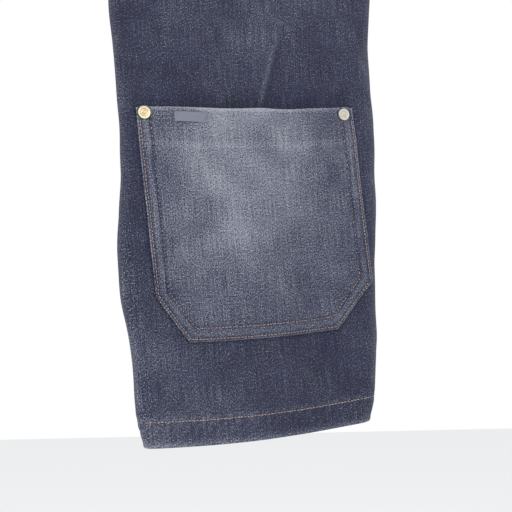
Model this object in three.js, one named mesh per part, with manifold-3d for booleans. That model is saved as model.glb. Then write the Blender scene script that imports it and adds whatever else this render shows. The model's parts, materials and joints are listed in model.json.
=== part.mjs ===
// Short denim waist apron hanging by its tape loop on a wall hook.
// Millimetres. Origin: centre of the hook plate's back face, on the wall.
// +X is right as seen from the room, +Y goes into the wall, +Z is up.

import * as THREE from 'three';
import { mergeVertices } from 'three/addons/utils/BufferGeometryUtils.js';
import Module from 'manifold-3d';

// ---------------------------------------------------------------- dimensions

const seat = 0.3; // clearance between pieces that rest on each other

const denim = { thick: 1.0 };
const apron = {
  width: 500, // finished width, side hem to side hem
  skirt: 360, // hem edge to the waistband seam
  tilt: THREE.MathUtils.degToRad(5.2), // the cloth hangs a little off plumb
};
const band = { height: 40, thick: 3.0 };

const pocket = {
  width: 175,
  height: 172,
  aboveHem: 74,
  offCentre: 17, // the pocket sits this far to the left of the apron's middle
  leftCorner: 23, // width of each cut-off lower corner
  rightCorner: 33,
  cornerHigh: 33,
  gape: 9, // how far the middle of the mouth stands off the panel
};
const label = { wide: 26, high: 8, thick: 0.6, fromLeft: 27, belowMouth: 2.5 };

const rivet = {
  capRadius: 4.6,
  capThick: 1.5,
  grooveRadius: 3.0,
  nippleRadius: 1.1,
  nippleHigh: 0.9,
  postRadius: 1.2,
  burrRadius: 3.8,
  burrThick: 0.9,
  left: { fromSide: 5.4, fromTop: 5.0 },
  right: { fromSide: 7.8, fromTop: 5.8 },
};

const fold = {
  leftFromPocket: 7, // flat cloth left of the pocket before it turns back
  leftRadius: 6.5,
  rightFromPocket: 5, // the plumb fold lies half the pocket and this right of the hook
  rightRadius: 13,
};

const plate = { wide: 36, high: 90, thick: 3.5, corner: 8 };
const arm = {
  radius: 4.5,
  drop: 12, // arm axis below the plate's centre
  reach: 44, // wall to the start of the upturn
  bendRadius: 14,
  bendAngle: THREE.MathUtils.degToRad(60),
  tipLength: 8,
  tipRadius: 5.3,
  collarRadius: 9,
  collarThick: 2.5,
  spigotRadius: 3,
};
const screw = {
  spacing: 64,
  headRadius: 4.2,
  headDepth: 2.4,
  shankRadius: 2.0,
  length: 28,
  pointLength: 5,
  slotWide: 1.2,
  slotDeep: 1.1,
};

const loop = {
  width: 10,
  thick: 1.6,
  slack: 1.4, // tape's inner face to the arm
  drop: 64, // arm axis to the waistband's top edge
  sewn: 22, // length lying behind the waistband
  spread: 6, // middle of each sewn end from the loop's middle
  gapAngle: THREE.MathUtils.degToRad(8.2), // parting between crown and legs
  fromFront: 6, // middle of the tape to the start of the upturn
};
const tie = {
  width: 25,
  thick: 1.6,
  length: 460,
  sewn: 14,
  overrun: 4, // it stays flat this far past the waistband's end
  armWidth: 10, // gathered where it lies over the arm
  armThick: 3.0,
  armSlack: 0.5,
};

// ------------------------------------------------------------- derived places

const armZ = -arm.drop;
const loopY = -arm.reach + loop.fromFront;
const frontY = loopY - 2; // middle of the cloth of the front
const pocketEdge = pocket.width / 2;
const pocketTop = pocket.aboveHem + pocket.height;
const bandTop = apron.skirt + band.height;

// Cloth coordinates: u across from the pocket's middle, v up from the hem edge.
const sideLeft = pocket.offCentre - apron.width / 2;
const sideRight = pocket.offCentre + apron.width / 2;
const foldLeft = -pocketEdge - fold.leftFromPocket;
const foldRight = pocketEdge + fold.rightFromPocket; // in x, as this fold is plumb

const warp = { x: -Math.sin(apron.tilt), z: Math.cos(apron.tilt) };
const weft = { x: Math.cos(apron.tilt), z: Math.sin(apron.tilt) };

// Wall-plane place of the pocket's middle line at the hem edge, set so that the
// waistband's middle hangs straight under the arm.
const hem = {
  x: -pocket.offCentre * weft.x - bandTop * warp.x,
  z: armZ - loop.drop - pocket.offCentre * weft.z - bandTop * warp.z,
};

// Place of the cloth point (u, v), lifted off the cloth's middle towards its face
// side. Both sides of the cloth turn back behind the front: the left along the
// warp, the right along a plumb line.
function drape(u, v, lift = 0) {
  const x = hem.x + u * weft.x + v * warp.x;
  const z = hem.z + u * weft.z + v * warp.z;
  if (u < foldLeft) {
    const r = fold.leftRadius;
    const run = foldLeft - u;
    const turn = Math.min(run / r, Math.PI);
    const back = Math.max(run - Math.PI * r, 0);
    const out = run - Math.sin(turn) * (r + lift) + back;
    return [x + out * weft.x, frontY + r - Math.cos(turn) * (r + lift), z + out * weft.z];
  }
  if (x > foldRight) {
    const r = fold.rightRadius;
    const run = x - foldRight;
    const turn = Math.min(run / r, Math.PI);
    const back = Math.max(run - Math.PI * r, 0);
    const plumb = foldRight + Math.sin(turn) * (r + lift) - back;
    return [plumb, frontY + r - Math.cos(turn) * (r + lift), z];
  }
  return [x, frontY - lift, z];
}

// Cloth coordinate u of the point at height v that lies x right of the hook.
const acrossAt = (x, v) => (x - hem.x - v * warp.x) / weft.x;

// ------------------------------------------------------------------- solids

const wasm = await Module();
wasm.setup();

function toSolid(geometry) {
  const bare = geometry.clone();
  for (const name of Object.keys(bare.attributes)) {
    if (name !== 'position') bare.deleteAttribute(name);
  }
  const merged = mergeVertices(bare, 1e-4);
  return new wasm.Manifold(new wasm.Mesh({
    numProp: 3,
    vertProperties: new Float32Array(merged.attributes.position.array),
    triVerts: new Uint32Array(merged.index.array),
  }));
}

function toGeometry(solid) {
  const mesh = solid.getMesh();
  const geometry = new THREE.BufferGeometry();
  geometry.setAttribute('position', new THREE.BufferAttribute(mesh.vertProperties, 3));
  geometry.setIndex(new THREE.BufferAttribute(mesh.triVerts, 1));
  geometry.computeVertexNormals();
  return geometry;
}

// Closed slab between two faces given as equal grids of points. Seen from the
// first face, rows go up and columns go right.
function slab(face, back) {
  const rows = face.length;
  const columns = face[0].length;
  const positions = [...face.flat(), ...back.flat()].flat();
  const at = (side, row, column) => (side * rows + row) * columns + column;
  const index = [];
  const quad = (a, b, c, d) => index.push(a, b, c, a, c, d);
  for (let r = 0; r < rows - 1; r++) {
    for (let c = 0; c < columns - 1; c++) {
      quad(at(0, r, c), at(0, r, c + 1), at(0, r + 1, c + 1), at(0, r + 1, c));
      quad(at(1, r, c), at(1, r + 1, c), at(1, r + 1, c + 1), at(1, r, c + 1));
    }
    const right = columns - 1;
    quad(at(0, r, 0), at(0, r + 1, 0), at(1, r + 1, 0), at(1, r, 0));
    quad(at(0, r, right), at(1, r, right), at(1, r + 1, right), at(0, r + 1, right));
  }
  const top = rows - 1;
  for (let c = 0; c < columns - 1; c++) {
    quad(at(0, 0, c), at(1, 0, c), at(1, 0, c + 1), at(0, 0, c + 1));
    quad(at(0, top, c), at(0, top, c + 1), at(1, top, c + 1), at(1, top, c));
  }
  const geometry = new THREE.BufferGeometry();
  geometry.setAttribute('position', new THREE.Float32BufferAttribute(positions, 3));
  geometry.setIndex(index);
  geometry.computeVertexNormals();
  return geometry;
}

// Cloth slab over a grid of [u, v] points, with its middle lifted by lift(u, v).
function clothSlab(grid, thick, lift = () => 0) {
  const side = (offset) => grid.map((row) =>
    row.map(([u, v]) => drape(u, v, lift(u, v) + offset)));
  return slab(side(thick / 2), side(-thick / 2));
}

const spaced = (from, to, count) =>
  Array.from({ length: count + 1 }, (_, i) => from + ((to - from) * i) / count);

// Full-width cloth between heights v0 and v1, with columns along both folds.
function foldedCloth(v0, v1, thick, rowCount) {
  const leftBend = foldLeft - Math.PI * fold.leftRadius;
  const rightBend = foldRight + Math.PI * fold.rightRadius;
  const grid = spaced(v0, v1, rowCount).map((v) => [
    sideLeft,
    ...spaced(leftBend, foldLeft, 8),
    ...spaced(foldRight, rightBend, 12).map((x) => acrossAt(x, v)),
    sideRight,
  ].map((u) => [u, v]));
  return clothSlab(grid, thick);
}

// Flat tape swept through stations { at, across, width, thick }.
function ribbon(stations, stepsBetween) {
  const curve = new THREE.CatmullRomCurve3(stations.map((s) => new THREE.Vector3(...s.at)));
  const spans = stations.length - 1;
  const edges = [[], [], [], []];
  for (let i = 0; i <= spans * stepsBetween; i++) {
    const t = i / (spans * stepsBetween);
    const from = Math.min(Math.floor(i / stepsBetween), spans - 1);
    const mix = i / stepsBetween - from;
    const [a, b] = [stations[from], stations[from + 1]];
    const middle = curve.getPoint(t);
    const ahead = curve.getTangent(t);
    const across = new THREE.Vector3(...a.across).lerp(new THREE.Vector3(...b.across), mix);
    across.addScaledVector(ahead, -across.dot(ahead)).normalize();
    const out = new THREE.Vector3().crossVectors(across, ahead);
    const halfWidth = THREE.MathUtils.lerp(a.width, b.width, mix) / 2;
    const halfThick = THREE.MathUtils.lerp(a.thick, b.thick, mix) / 2;
    const corner = (side, face) => middle.clone()
      .addScaledVector(across, side * halfWidth)
      .addScaledVector(out, face * halfThick)
      .toArray();
    edges[0].push(corner(-1, 1));
    edges[1].push(corner(1, 1));
    edges[2].push(corner(-1, -1));
    edges[3].push(corner(1, -1));
  }
  const pairs = (left, right) => left.map((point, i) => [point, right[i]]);
  return slab(pairs(edges[0], edges[1]), pairs(edges[2], edges[3]));
}

// Stations of a tape bent round the point (y, z) above the arm, its inner face at
// radius inner, from angle a0 to a1 (0 is +X).
function overArm(y, z, inner, size, a0, a1, spans) {
  return spaced(a0, a1, spans).map((angle) => {
    const r = inner + size.thick / 2;
    return {
      at: [r * Math.cos(angle), y, z + r * Math.sin(angle)],
      across: [0, Math.sign(a1 - a0), 0],
      ...size,
    };
  });
}

const group = new THREE.Group();

function add(name, geometry, color, roughness, metalness = 0) {
  const material = new THREE.MeshStandardMaterial({ color, roughness, metalness });
  const mesh = new THREE.Mesh(geometry, material);
  mesh.name = name;
  group.add(mesh);
  return mesh;
}

const indigo = 0x3b3f52;
const tape = 0x4a4e5e;
const brass = 0xc9b58c;
const steel = 0x8d8f92;

// ------------------------------------------------------------------- the hook

function lathe(profile, segments) {
  return new THREE.LatheGeometry(profile.map(([r, h]) => new THREE.Vector2(r, h)), segments);
}

// Screw along +Y, head face at y = 0 and point at y = screw.length, grown by room.
function screwSolid(room) {
  const shank = screw.shankRadius + room;
  const head = screw.headRadius + room;
  const rim = room > 0 ? [[head, room * 2]] : [];
  return toSolid(lathe([
    [0, -screw.length - room],
    [shank, -screw.length + screw.pointLength],
    [shank, -screw.headDepth],
    [head, 0],
    ...rim,
    [0, room * 2],
  ], 24).rotateX(Math.PI));
}

function makePlate() {
  const { wide, high, corner } = plate;
  const outline = new THREE.Shape();
  outline.moveTo(-wide / 2 + corner, -high / 2);
  outline.lineTo(wide / 2 - corner, -high / 2);
  outline.absarc(wide / 2 - corner, -high / 2 + corner, corner, -Math.PI / 2, 0, false);
  outline.lineTo(wide / 2, high / 2 - corner);
  outline.absarc(wide / 2 - corner, high / 2 - corner, corner, 0, Math.PI / 2, false);
  outline.lineTo(-wide / 2 + corner, high / 2);
  outline.absarc(-wide / 2 + corner, high / 2 - corner, corner, Math.PI / 2, Math.PI, false);
  outline.lineTo(-wide / 2, -high / 2 + corner);
  outline.absarc(-wide / 2 + corner, -high / 2 + corner, corner, Math.PI, 1.5 * Math.PI, false);
  const slabGeometry = new THREE.ExtrudeGeometry(outline, {
    depth: plate.thick, bevelEnabled: false, curveSegments: 6,
  });
  // The outline is drawn in X and Y; a quarter turn stands it up against the wall.
  let solid = toSolid(slabGeometry.rotateX(Math.PI / 2));
  for (const side of [-1, 1]) {
    const hole = screwSolid(seat).translate([0, -plate.thick, (side * screw.spacing) / 2]);
    solid = solid.subtract(hole);
  }
  const bore = new THREE.CylinderGeometry(arm.spigotRadius + seat, arm.spigotRadius + seat,
    plate.thick * 3, 24).translate(0, 0, armZ);
  return toGeometry(solid.subtract(toSolid(bore)));
}

function makeArm() {
  const collarFace = -plate.thick - seat;
  const bend = { y: -arm.reach, z: armZ + arm.bendRadius };
  const path = new THREE.CurvePath();
  const start = new THREE.Vector3(0, collarFace - 1, armZ);
  const bendStart = new THREE.Vector3(0, bend.y, armZ);
  path.add(new THREE.LineCurve3(start, bendStart));
  const arcPoints = spaced(0, arm.bendAngle, 8).map((angle) => new THREE.Vector3(
    0, bend.y - arm.bendRadius * Math.sin(angle), bend.z - arm.bendRadius * Math.cos(angle)));
  for (let i = 0; i < arcPoints.length - 1; i++) {
    path.add(new THREE.LineCurve3(arcPoints[i], arcPoints[i + 1]));
  }
  const bendEnd = arcPoints.at(-1);
  const tip = bendEnd.clone().add(new THREE.Vector3(
    0, -Math.cos(arm.bendAngle), Math.sin(arm.bendAngle)).multiplyScalar(arm.tipLength));
  path.add(new THREE.LineCurve3(bendEnd, tip));
  const section = new THREE.Shape().absarc(0, 0, arm.radius, 0, 2 * Math.PI, false);
  const rod = new THREE.ExtrudeGeometry(section, {
    steps: 30, curveSegments: 10, bevelEnabled: false, extrudePath: path,
  });
  const ball = new THREE.SphereGeometry(arm.tipRadius, 20, 12).translate(...tip.toArray());
  const collar = lathe([
    [0, -plate.thick + seat],
    [arm.spigotRadius, -plate.thick + seat],
    [arm.spigotRadius, 0],
    [arm.collarRadius, 0],
    [arm.collarRadius, arm.collarThick / 2],
    [arm.collarRadius - arm.collarThick / 2, arm.collarThick],
    [0, arm.collarThick],
  ], 28).rotateX(Math.PI).translate(0, collarFace, armZ);
  return toGeometry(toSolid(rod).add(toSolid(ball)).add(toSolid(collar)));
}

function makeScrew(side) {
  const slot = new THREE.BoxGeometry(screw.headRadius * 1.1, screw.slotDeep * 2, screw.slotWide);
  const cross = toSolid(slot).add(toSolid(slot.clone().rotateY(Math.PI / 2)));
  const solid = screwSolid(0).subtract(cross);
  return toGeometry(solid.translate([0, -plate.thick, (side * screw.spacing) / 2]));
}

add('hook_plate', makePlate(), steel, 0.4, 0.9);
add('hook_arm', makeArm(), steel, 0.35, 0.9);
add('screw_top', makeScrew(1), steel, 0.35, 1);
add('screw_bottom', makeScrew(-1), steel, 0.35, 1);

// ------------------------------------------------------------------ the apron

const bandGeometry = foldedCloth(apron.skirt + seat / 2, bandTop, band.thick, 1);
const panelGeometry = foldedCloth(0, apron.skirt - seat / 2, denim.thick, 4);

// The pocket's edges lie on the panel; its mouth stands off in the middle.
const pocketSeat = denim.thick + seat + 0.1;
function pocketLift(u, v) {
  const across = 1 - (u / pocketEdge) ** 2;
  const up = (v - pocket.aboveHem) / pocket.height;
  return pocketSeat + pocket.gape * across ** 2 * up ** 1.2;
}

function makePocket() {
  const { aboveHem, leftCorner, rightCorner, cornerHigh } = pocket;
  const row = (v) => {
    const cut = Math.max(0, 1 - (v - aboveHem) / cornerHigh);
    const left = -pocketEdge + cut * leftCorner;
    const right = pocketEdge - cut * rightCorner;
    const turn = Math.min(acrossAt(foldRight, v), right - 2);
    return [...spaced(left, turn, 13), ...spaced(turn, right, 3).slice(1)].map((u) => [u, v]);
  };
  const grid = [
    ...spaced(aboveHem, aboveHem + cornerHigh, 5).map(row),
    ...spaced(aboveHem + cornerHigh, pocketTop, 8).slice(1).map(row),
  ];
  return clothSlab(grid, denim.thick, pocketLift);
}

const rivets = [
  { side: 'left', u: -pocketEdge + rivet.left.fromSide, v: pocketTop - rivet.left.fromTop },
  { side: 'right', u: pocketEdge - rivet.right.fromSide, v: pocketTop - rivet.right.fromTop },
];

// Face of the cap's underside, above the middle of the panel's cloth.
const capSeat = (spot) => pocketLift(spot.u, spot.v) + denim.thick / 2 + seat + 0.25;
const burrSeat = denim.thick / 2 + seat;

// Profiles run along the cloth's normal, with height 0 on the panel's middle.
function rivetPiece(spot, profile) {
  const [x, , z] = drape(spot.u, spot.v);
  return lathe(profile, 24).rotateX(Math.PI).translate(x, frontY, z);
}

function makeCap(spot) {
  const low = capSeat(spot);
  const high = low + rivet.capThick;
  const { capRadius, grooveRadius, nippleRadius, nippleHigh, postRadius } = rivet;
  return rivetPiece(spot, [
    [0, -burrSeat - rivet.burrThick],
    [postRadius, -burrSeat - rivet.burrThick],
    [postRadius, low],
    [capRadius, low],
    [capRadius, low + rivet.capThick / 2],
    [capRadius - 0.5, high],
    [grooveRadius + 0.4, high],
    [grooveRadius, high - 0.5],
    [nippleRadius + 0.4, high - 0.5],
    [nippleRadius, low + rivet.capThick],
    [nippleRadius * 0.7, low + rivet.capThick + nippleHigh],
    [0, low + rivet.capThick + nippleHigh],
  ]);
}

function makeBurr(spot) {
  const inner = rivet.postRadius + seat;
  return rivetPiece(spot, [
    [inner, -burrSeat - rivet.burrThick],
    [rivet.burrRadius, -burrSeat - rivet.burrThick],
    [rivet.burrRadius, -burrSeat],
    [inner, -burrSeat],
    [inner, -burrSeat - rivet.burrThick],
  ]);
}

function punch(geometry) {
  let solid = toSolid(geometry);
  for (const spot of rivets) {
    const hole = rivet.postRadius + seat;
    const [x, , z] = drape(spot.u, spot.v);
    const pin = new THREE.CylinderGeometry(hole, hole, 8, 16).translate(x, frontY, z);
    solid = solid.subtract(toSolid(pin));
  }
  return toGeometry(solid);
}

function makeLabel() {
  const left = -pocketEdge + label.fromLeft;
  const top = pocketTop - label.belowMouth;
  const grid = spaced(top - label.high, top, 1).map((v) =>
    spaced(left, left + label.wide, 3).map((u) => [u, v]));
  const lift = (u, v) => pocketLift(u, v) + denim.thick / 2 + label.thick / 2 + seat + 0.2;
  return clothSlab(grid, label.thick, lift);
}

add('apron_panel', punch(panelGeometry), indigo, 0.95);
add('waistband', bandGeometry, indigo, 0.95);
add('pocket', punch(makePocket()), indigo, 0.95);
add('pocket_label', makeLabel(), tape, 0.9);
for (const spot of rivets) {
  add(`rivet_cap_${spot.side}`, makeCap(spot), brass, 0.35, 1);
  add(`rivet_burr_${spot.side}`, makeBurr(spot), brass, 0.4, 1);
}

// ----------------------------------------------------------- the hanging loop

const loopSize = { width: loop.width, thick: loop.thick };
const loopInner = arm.radius + loop.slack;
const loopZ = armZ - loop.slack + seat; // the crown rests on top of the arm

function makeCrown() {
  const [from, to] = [Math.PI - loop.gapAngle, loop.gapAngle];
  return ribbon(overArm(loopY, loopZ, loopInner, loopSize, from, to, 12), 1);
}

// One side of the loop: down from the arm's side, a quarter turn, then flat behind
// the waistband.
function makeLeg(side) {
  const x = side * (loopInner + loop.thick / 2);
  const low = armZ - loop.drop;
  const sewnY = frontY + band.thick / 2 + seat + loop.thick / 2;
  const ends = side * loop.spread;
  const turnY = (loopY + sewnY) / 2;
  const flat = [side, 0, 0];
  const edge = [0, -1, 0];
  return ribbon([
    { at: [x, loopY, loopZ], across: edge },
    { at: [x * 1.02, loopY, armZ - loop.drop * 0.28], across: edge },
    { at: [x * 1.1, loopY, armZ - loop.drop * 0.52], across: edge },
    { at: [x * 1.05, turnY, armZ - loop.drop * 0.75], across: [side, -1, 0] },
    { at: [ends, sewnY, low + 1], across: flat },
    { at: [ends, sewnY, low - loop.sewn / 2], across: flat },
    { at: [ends, sewnY, low - loop.sewn], across: flat },
  ].map((station) => ({ ...station, ...loopSize })), 4);
}

add('hanging_loop_crown', makeCrown(), tape, 0.9);
add('hanging_loop_left_leg', makeLeg(-1), tape, 0.9);
add('hanging_loop_right_leg', makeLeg(1), tape, 0.9);

// -------------------------------------------------------------------- the ties

const tieSize = { width: tie.width, thick: tie.thick };
const tieOnArm = { width: tie.armWidth, thick: tie.armThick };

// A tie starts flat on the wall side of a waistband end, turns up to the arm, lies
// over it gathered, and its tail hangs plumb between the two folded sides.
// side is the way the cloth end points: +1 right, -1 left.
function makeTie(side, u, armY, turnY, tailY) {
  const inset = u < 0 ? tie.sewn : -tie.sewn;
  const middle = apron.skirt + band.height / 2;
  const lift = band.thick / 2 + seat + tie.thick / 2;
  const inner = drape(u + inset, middle, lift);
  const end = drape(u - Math.sign(inset) * tie.overrun, middle, lift);
  const upright = [0, 0, side];
  const level = [0, 1, 0];
  const flat = [-side, 0, 0];
  const [ex, , ez] = end;
  const armTop = overArm(armY, armZ, arm.radius + tie.armSlack, tieOnArm,
    side > 0 ? 0 : Math.PI, side > 0 ? Math.PI : 0, 6);
  const first = armTop[0].at;
  const last = armTop.at(-1).at;
  const midY = (turnY + armY) / 2;
  const rise = (share) => ez + (first[2] - ez) * share;
  const turn = { width: tie.armWidth + 1, thick: tie.armThick };
  const stations = [
    { at: inner, across: upright, ...tieSize },
    { at: end, across: upright, ...tieSize },
    { at: [ex + side * 9, turnY, rise(0.02)], across: [0, 0.8, side], width: 15, thick: 2.2 },
    { at: [ex + side * 15, turnY, rise(0.16)], across: level, ...turn },
    { at: [ex + side * 13, turnY, rise(0.38)], across: level, ...turn },
    { at: [(ex + first[0]) / 2 + side * 4, midY, rise(0.66)], across: level, ...turn },
    { at: [first[0] + side * 1.2, armY, rise(0.88)], across: level, ...tieOnArm },
    ...armTop.map((station) => ({ ...station, across: level })),
    { at: [last[0] - side * 1, armY, armZ - 10], across: level, ...tieOnArm },
    { at: [last[0] - side * 4, (armY + tailY) / 2, armZ - 24], across: [-side, 1, 0], ...tieOnArm },
    { at: [last[0] - side * 8, tailY, armZ - 40], across: flat, width: 12, thick: 2.4 },
    { at: [last[0] - side * 12, tailY, armZ - 62], across: flat, width: 19, thick: 1.9 },
    { at: [last[0] - side * 14, tailY, armZ - 84], across: flat, ...tieSize },
  ];
  const places = stations.map((station) => new THREE.Vector3(...station.at));
  const tail = tie.length - new THREE.CatmullRomCurve3(places).getLength();
  for (const share of [0.33, 0.67, 1]) {
    const at = [last[0] - side * 14, tailY, armZ - 84 - tail * share];
    stations.push({ at, across: flat, ...tieSize });
  }
  return ribbon(stations, 4);
}

const leftFlapY = frontY + 2 * fold.leftRadius;
const rightFlapY = frontY + 2 * fold.rightRadius;
const tailY = (leftFlapY + rightFlapY) / 2 + 1.5;
add('tie_left', makeTie(1, sideLeft, leftFlapY, leftFlapY, tailY), indigo, 0.95);
add('tie_right', makeTie(-1, sideRight, rightFlapY, rightFlapY + 3.5, tailY), indigo, 0.95);

export default group;
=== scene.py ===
import json
import math

import bmesh
import bpy
import numpy as np
from mathutils import Matrix, Vector

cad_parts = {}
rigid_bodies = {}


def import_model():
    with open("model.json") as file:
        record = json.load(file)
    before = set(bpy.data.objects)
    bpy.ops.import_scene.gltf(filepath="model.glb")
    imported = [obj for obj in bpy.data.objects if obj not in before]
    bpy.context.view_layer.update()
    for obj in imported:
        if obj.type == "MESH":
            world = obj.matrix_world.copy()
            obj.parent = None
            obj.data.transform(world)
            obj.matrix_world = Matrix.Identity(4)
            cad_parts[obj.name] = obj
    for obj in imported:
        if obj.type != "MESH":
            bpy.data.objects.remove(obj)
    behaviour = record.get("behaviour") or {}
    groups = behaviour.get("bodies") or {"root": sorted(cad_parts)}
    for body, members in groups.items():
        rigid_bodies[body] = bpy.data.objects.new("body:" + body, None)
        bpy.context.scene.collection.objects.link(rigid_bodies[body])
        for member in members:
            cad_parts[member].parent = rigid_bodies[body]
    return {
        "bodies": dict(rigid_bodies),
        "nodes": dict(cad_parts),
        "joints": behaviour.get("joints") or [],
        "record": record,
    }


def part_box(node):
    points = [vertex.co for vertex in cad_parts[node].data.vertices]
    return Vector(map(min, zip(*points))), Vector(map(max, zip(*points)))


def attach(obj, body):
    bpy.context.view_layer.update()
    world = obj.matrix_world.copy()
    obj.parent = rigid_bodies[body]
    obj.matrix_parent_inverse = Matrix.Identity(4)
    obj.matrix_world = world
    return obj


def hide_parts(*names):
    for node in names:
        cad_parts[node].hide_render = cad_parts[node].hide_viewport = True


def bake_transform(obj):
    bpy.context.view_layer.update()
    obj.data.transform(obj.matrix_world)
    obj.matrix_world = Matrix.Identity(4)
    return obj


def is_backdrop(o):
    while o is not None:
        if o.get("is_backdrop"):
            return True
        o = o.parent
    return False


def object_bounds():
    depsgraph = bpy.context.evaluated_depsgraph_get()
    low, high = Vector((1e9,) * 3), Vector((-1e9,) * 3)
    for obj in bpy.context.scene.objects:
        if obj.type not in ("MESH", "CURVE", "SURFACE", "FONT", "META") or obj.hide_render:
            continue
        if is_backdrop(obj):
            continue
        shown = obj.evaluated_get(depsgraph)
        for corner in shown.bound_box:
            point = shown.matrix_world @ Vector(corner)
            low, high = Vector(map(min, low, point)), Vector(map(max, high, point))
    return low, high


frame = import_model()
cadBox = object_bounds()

mm = 0.001

# How the cloth hangs. u runs across the cloth from the pocket's middle, v up from the hem edge.
hang = {
    "tilt": math.radians(5.2),
    "skirt": 360 * mm,
    "bandHeight": 40 * mm,
    "width": 500 * mm,
    "offCentre": 17 * mm,
    "armDrop": 12 * mm,
    "loopDrop": 64 * mm,
    "foldLeft": -94.5 * mm,
    "leftRadius": 6.5 * mm,
    "foldRight": 92.5 * mm,  # plumb line, measured in x
    "rightRadius": 13 * mm,
}
pocketCut = {
    "half": 87.5 * mm,
    "bottom": 74 * mm,
    "top": 246 * mm,
    "cornerWide": 28 * mm,
    "floorShift": -5 * mm,  # the bottom edge sits this far off the pocket's middle
    "cornerHigh": 33 * mm,
    "gape": 8.6 * mm,
    "facing": 28 * mm,
    "seat": 1.45 * mm,
    "turned": 9.5 * mm,  # seam allowance folded under the edges
}
panelLow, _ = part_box("apron_panel")
frontY = panelLow[1] + 0.5 * mm
sinT, cosT = math.sin(hang["tilt"]), math.cos(hang["tilt"])
bandTop = hang["skirt"] + hang["bandHeight"]
sideLeft = hang["offCentre"] - hang["width"] / 2
sideRight = hang["offCentre"] + hang["width"] / 2
hemX = -hang["offCentre"] * cosT + bandTop * sinT
hemZ = -hang["armDrop"] - hang["loopDrop"] - hang["offCentre"] * sinT - bandTop * cosT


def bump(x, middle, width):
    return np.exp(-(((x - middle) / width) ** 2))


def rise(x, low, high):
    t = np.clip((x - low) / (high - low), 0, 1)
    return t * t * (3 - 2 * t)


# How the cloth has settled out of square: weft sagging in the middle, warp leaning.
settle = {"lean": -0.029, "rise": -3.2 * mm, "sag": 4.9 * mm, "twist": -1.1 * mm, "shorten": 0.011}
settleUnit = 100 * mm
pocketMiddle = (pocketCut["bottom"] + pocketCut["top"]) / 2


def settled(u, v):
    free = 1 - rise(v, 250 * mm, 350 * mm)
    a = np.clip(u, -1.15 * settleUnit, 1.1 * settleUnit) / settleUnit
    w = (v - pocketMiddle) / settleUnit
    dx = settle["lean"] * (v - pocketMiddle)
    dz = settle["rise"] + settle["sag"] * a * a + settle["twist"] * a * w
    dz = dz - settle["shorten"] * (v - pocketMiddle)
    return dx * free, dz * free


ripple = {"count": 16, "seed": 7, "amount": 0.55 * mm, "longest": 150 * mm, "shortest": 34 * mm}
rippleRandom = np.random.RandomState(ripple["seed"])
rippleWaves = []
for i in range(ripple["count"]):
    share = i / (ripple["count"] - 1)
    length = ripple["longest"] * (ripple["shortest"] / ripple["longest"]) ** share
    angle = rippleRandom.uniform(-0.6, 0.6) + (math.pi / 2 if i % 3 == 0 else 0)
    rippleWaves.append((length, angle, rippleRandom.uniform(0, 2 * math.pi)))


def rippleAt(u, v):  # uneven lie of cloth that has been worn and washed
    total = 0
    for length, angle, phase in rippleWaves:
        along = u * math.cos(angle) + v * math.sin(angle)
        total = total + np.sin(2 * math.pi * along / length + phase) * (length / ripple["longest"])
    return total * ripple["amount"]


wrinkle = {
    "crease": 2.0 * mm,  # broad fold over the pocket
    "sharp": 1.5 * mm,  # pinched fold beside it
    "sharpSlant": 0.37,
    "wave": 1.5 * mm,
    "waveLength": 118 * mm,
    "hemRope": 0.24 * mm,
    "ropePitch": 8.5 * mm,
    "hem": 19.5 * mm,
    "bandSeam": 0.35 * mm,
}
rivets = {
    "left": {"u": -82.1 * mm, "v": 241.0 * mm, "groove": 0.38 * mm},
    "right": {"u": 79.7 * mm, "v": 240.2 * mm, "groove": 0.22 * mm},
    "radius": 4.75 * mm,
    "capHigh": 1.35 * mm,
    "clamped": 11 * mm,  # cloth is held flat about this far round a rivet
    "settle": 0.4,  # share of the loose wrinkle left under it
    "post": 1.1 * mm,
    "postBehind": 1.5 * mm,
    "burr": 3.8 * mm,
    "burrHole": 1.5 * mm,
    "burrThick": 0.9 * mm,
    "burrBack": 0.8 * mm,
}
settledShift = {}  # outward shifts on a grid, filled by the settling trial


def shiftAt(u, v):
    if not settledShift:
        return 0.0
    grid = settledShift["grid"]
    rows, columns = grid.shape
    a = np.clip((u - sideLeft) / (sideRight - sideLeft) * (columns - 1), 0, columns - 1.001)
    b = np.clip(v / settledShift["high"] * (rows - 1), 0, rows - 1.001)
    i, j = a.astype(int), b.astype(int)
    fa, fb = a - i, b - j
    low = grid[j, i] * (1 - fa) + grid[j, i + 1] * fa
    high = grid[j + 1, i] * (1 - fa) + grid[j + 1, i + 1] * fa
    return low * (1 - fb) + high * fb


def sharpCrease(u, v, wide):  # the one pinched fold above the pocket mouth
    top = pocketCut["top"]
    line = 9 * mm + (v - top) * wrinkle["sharpSlant"]
    ends = rise(v, top - 6 * mm, top + 14 * mm) * rise(v, top + 74 * mm, top + 34 * mm)
    return ends * bump(u, line, wide)


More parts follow.
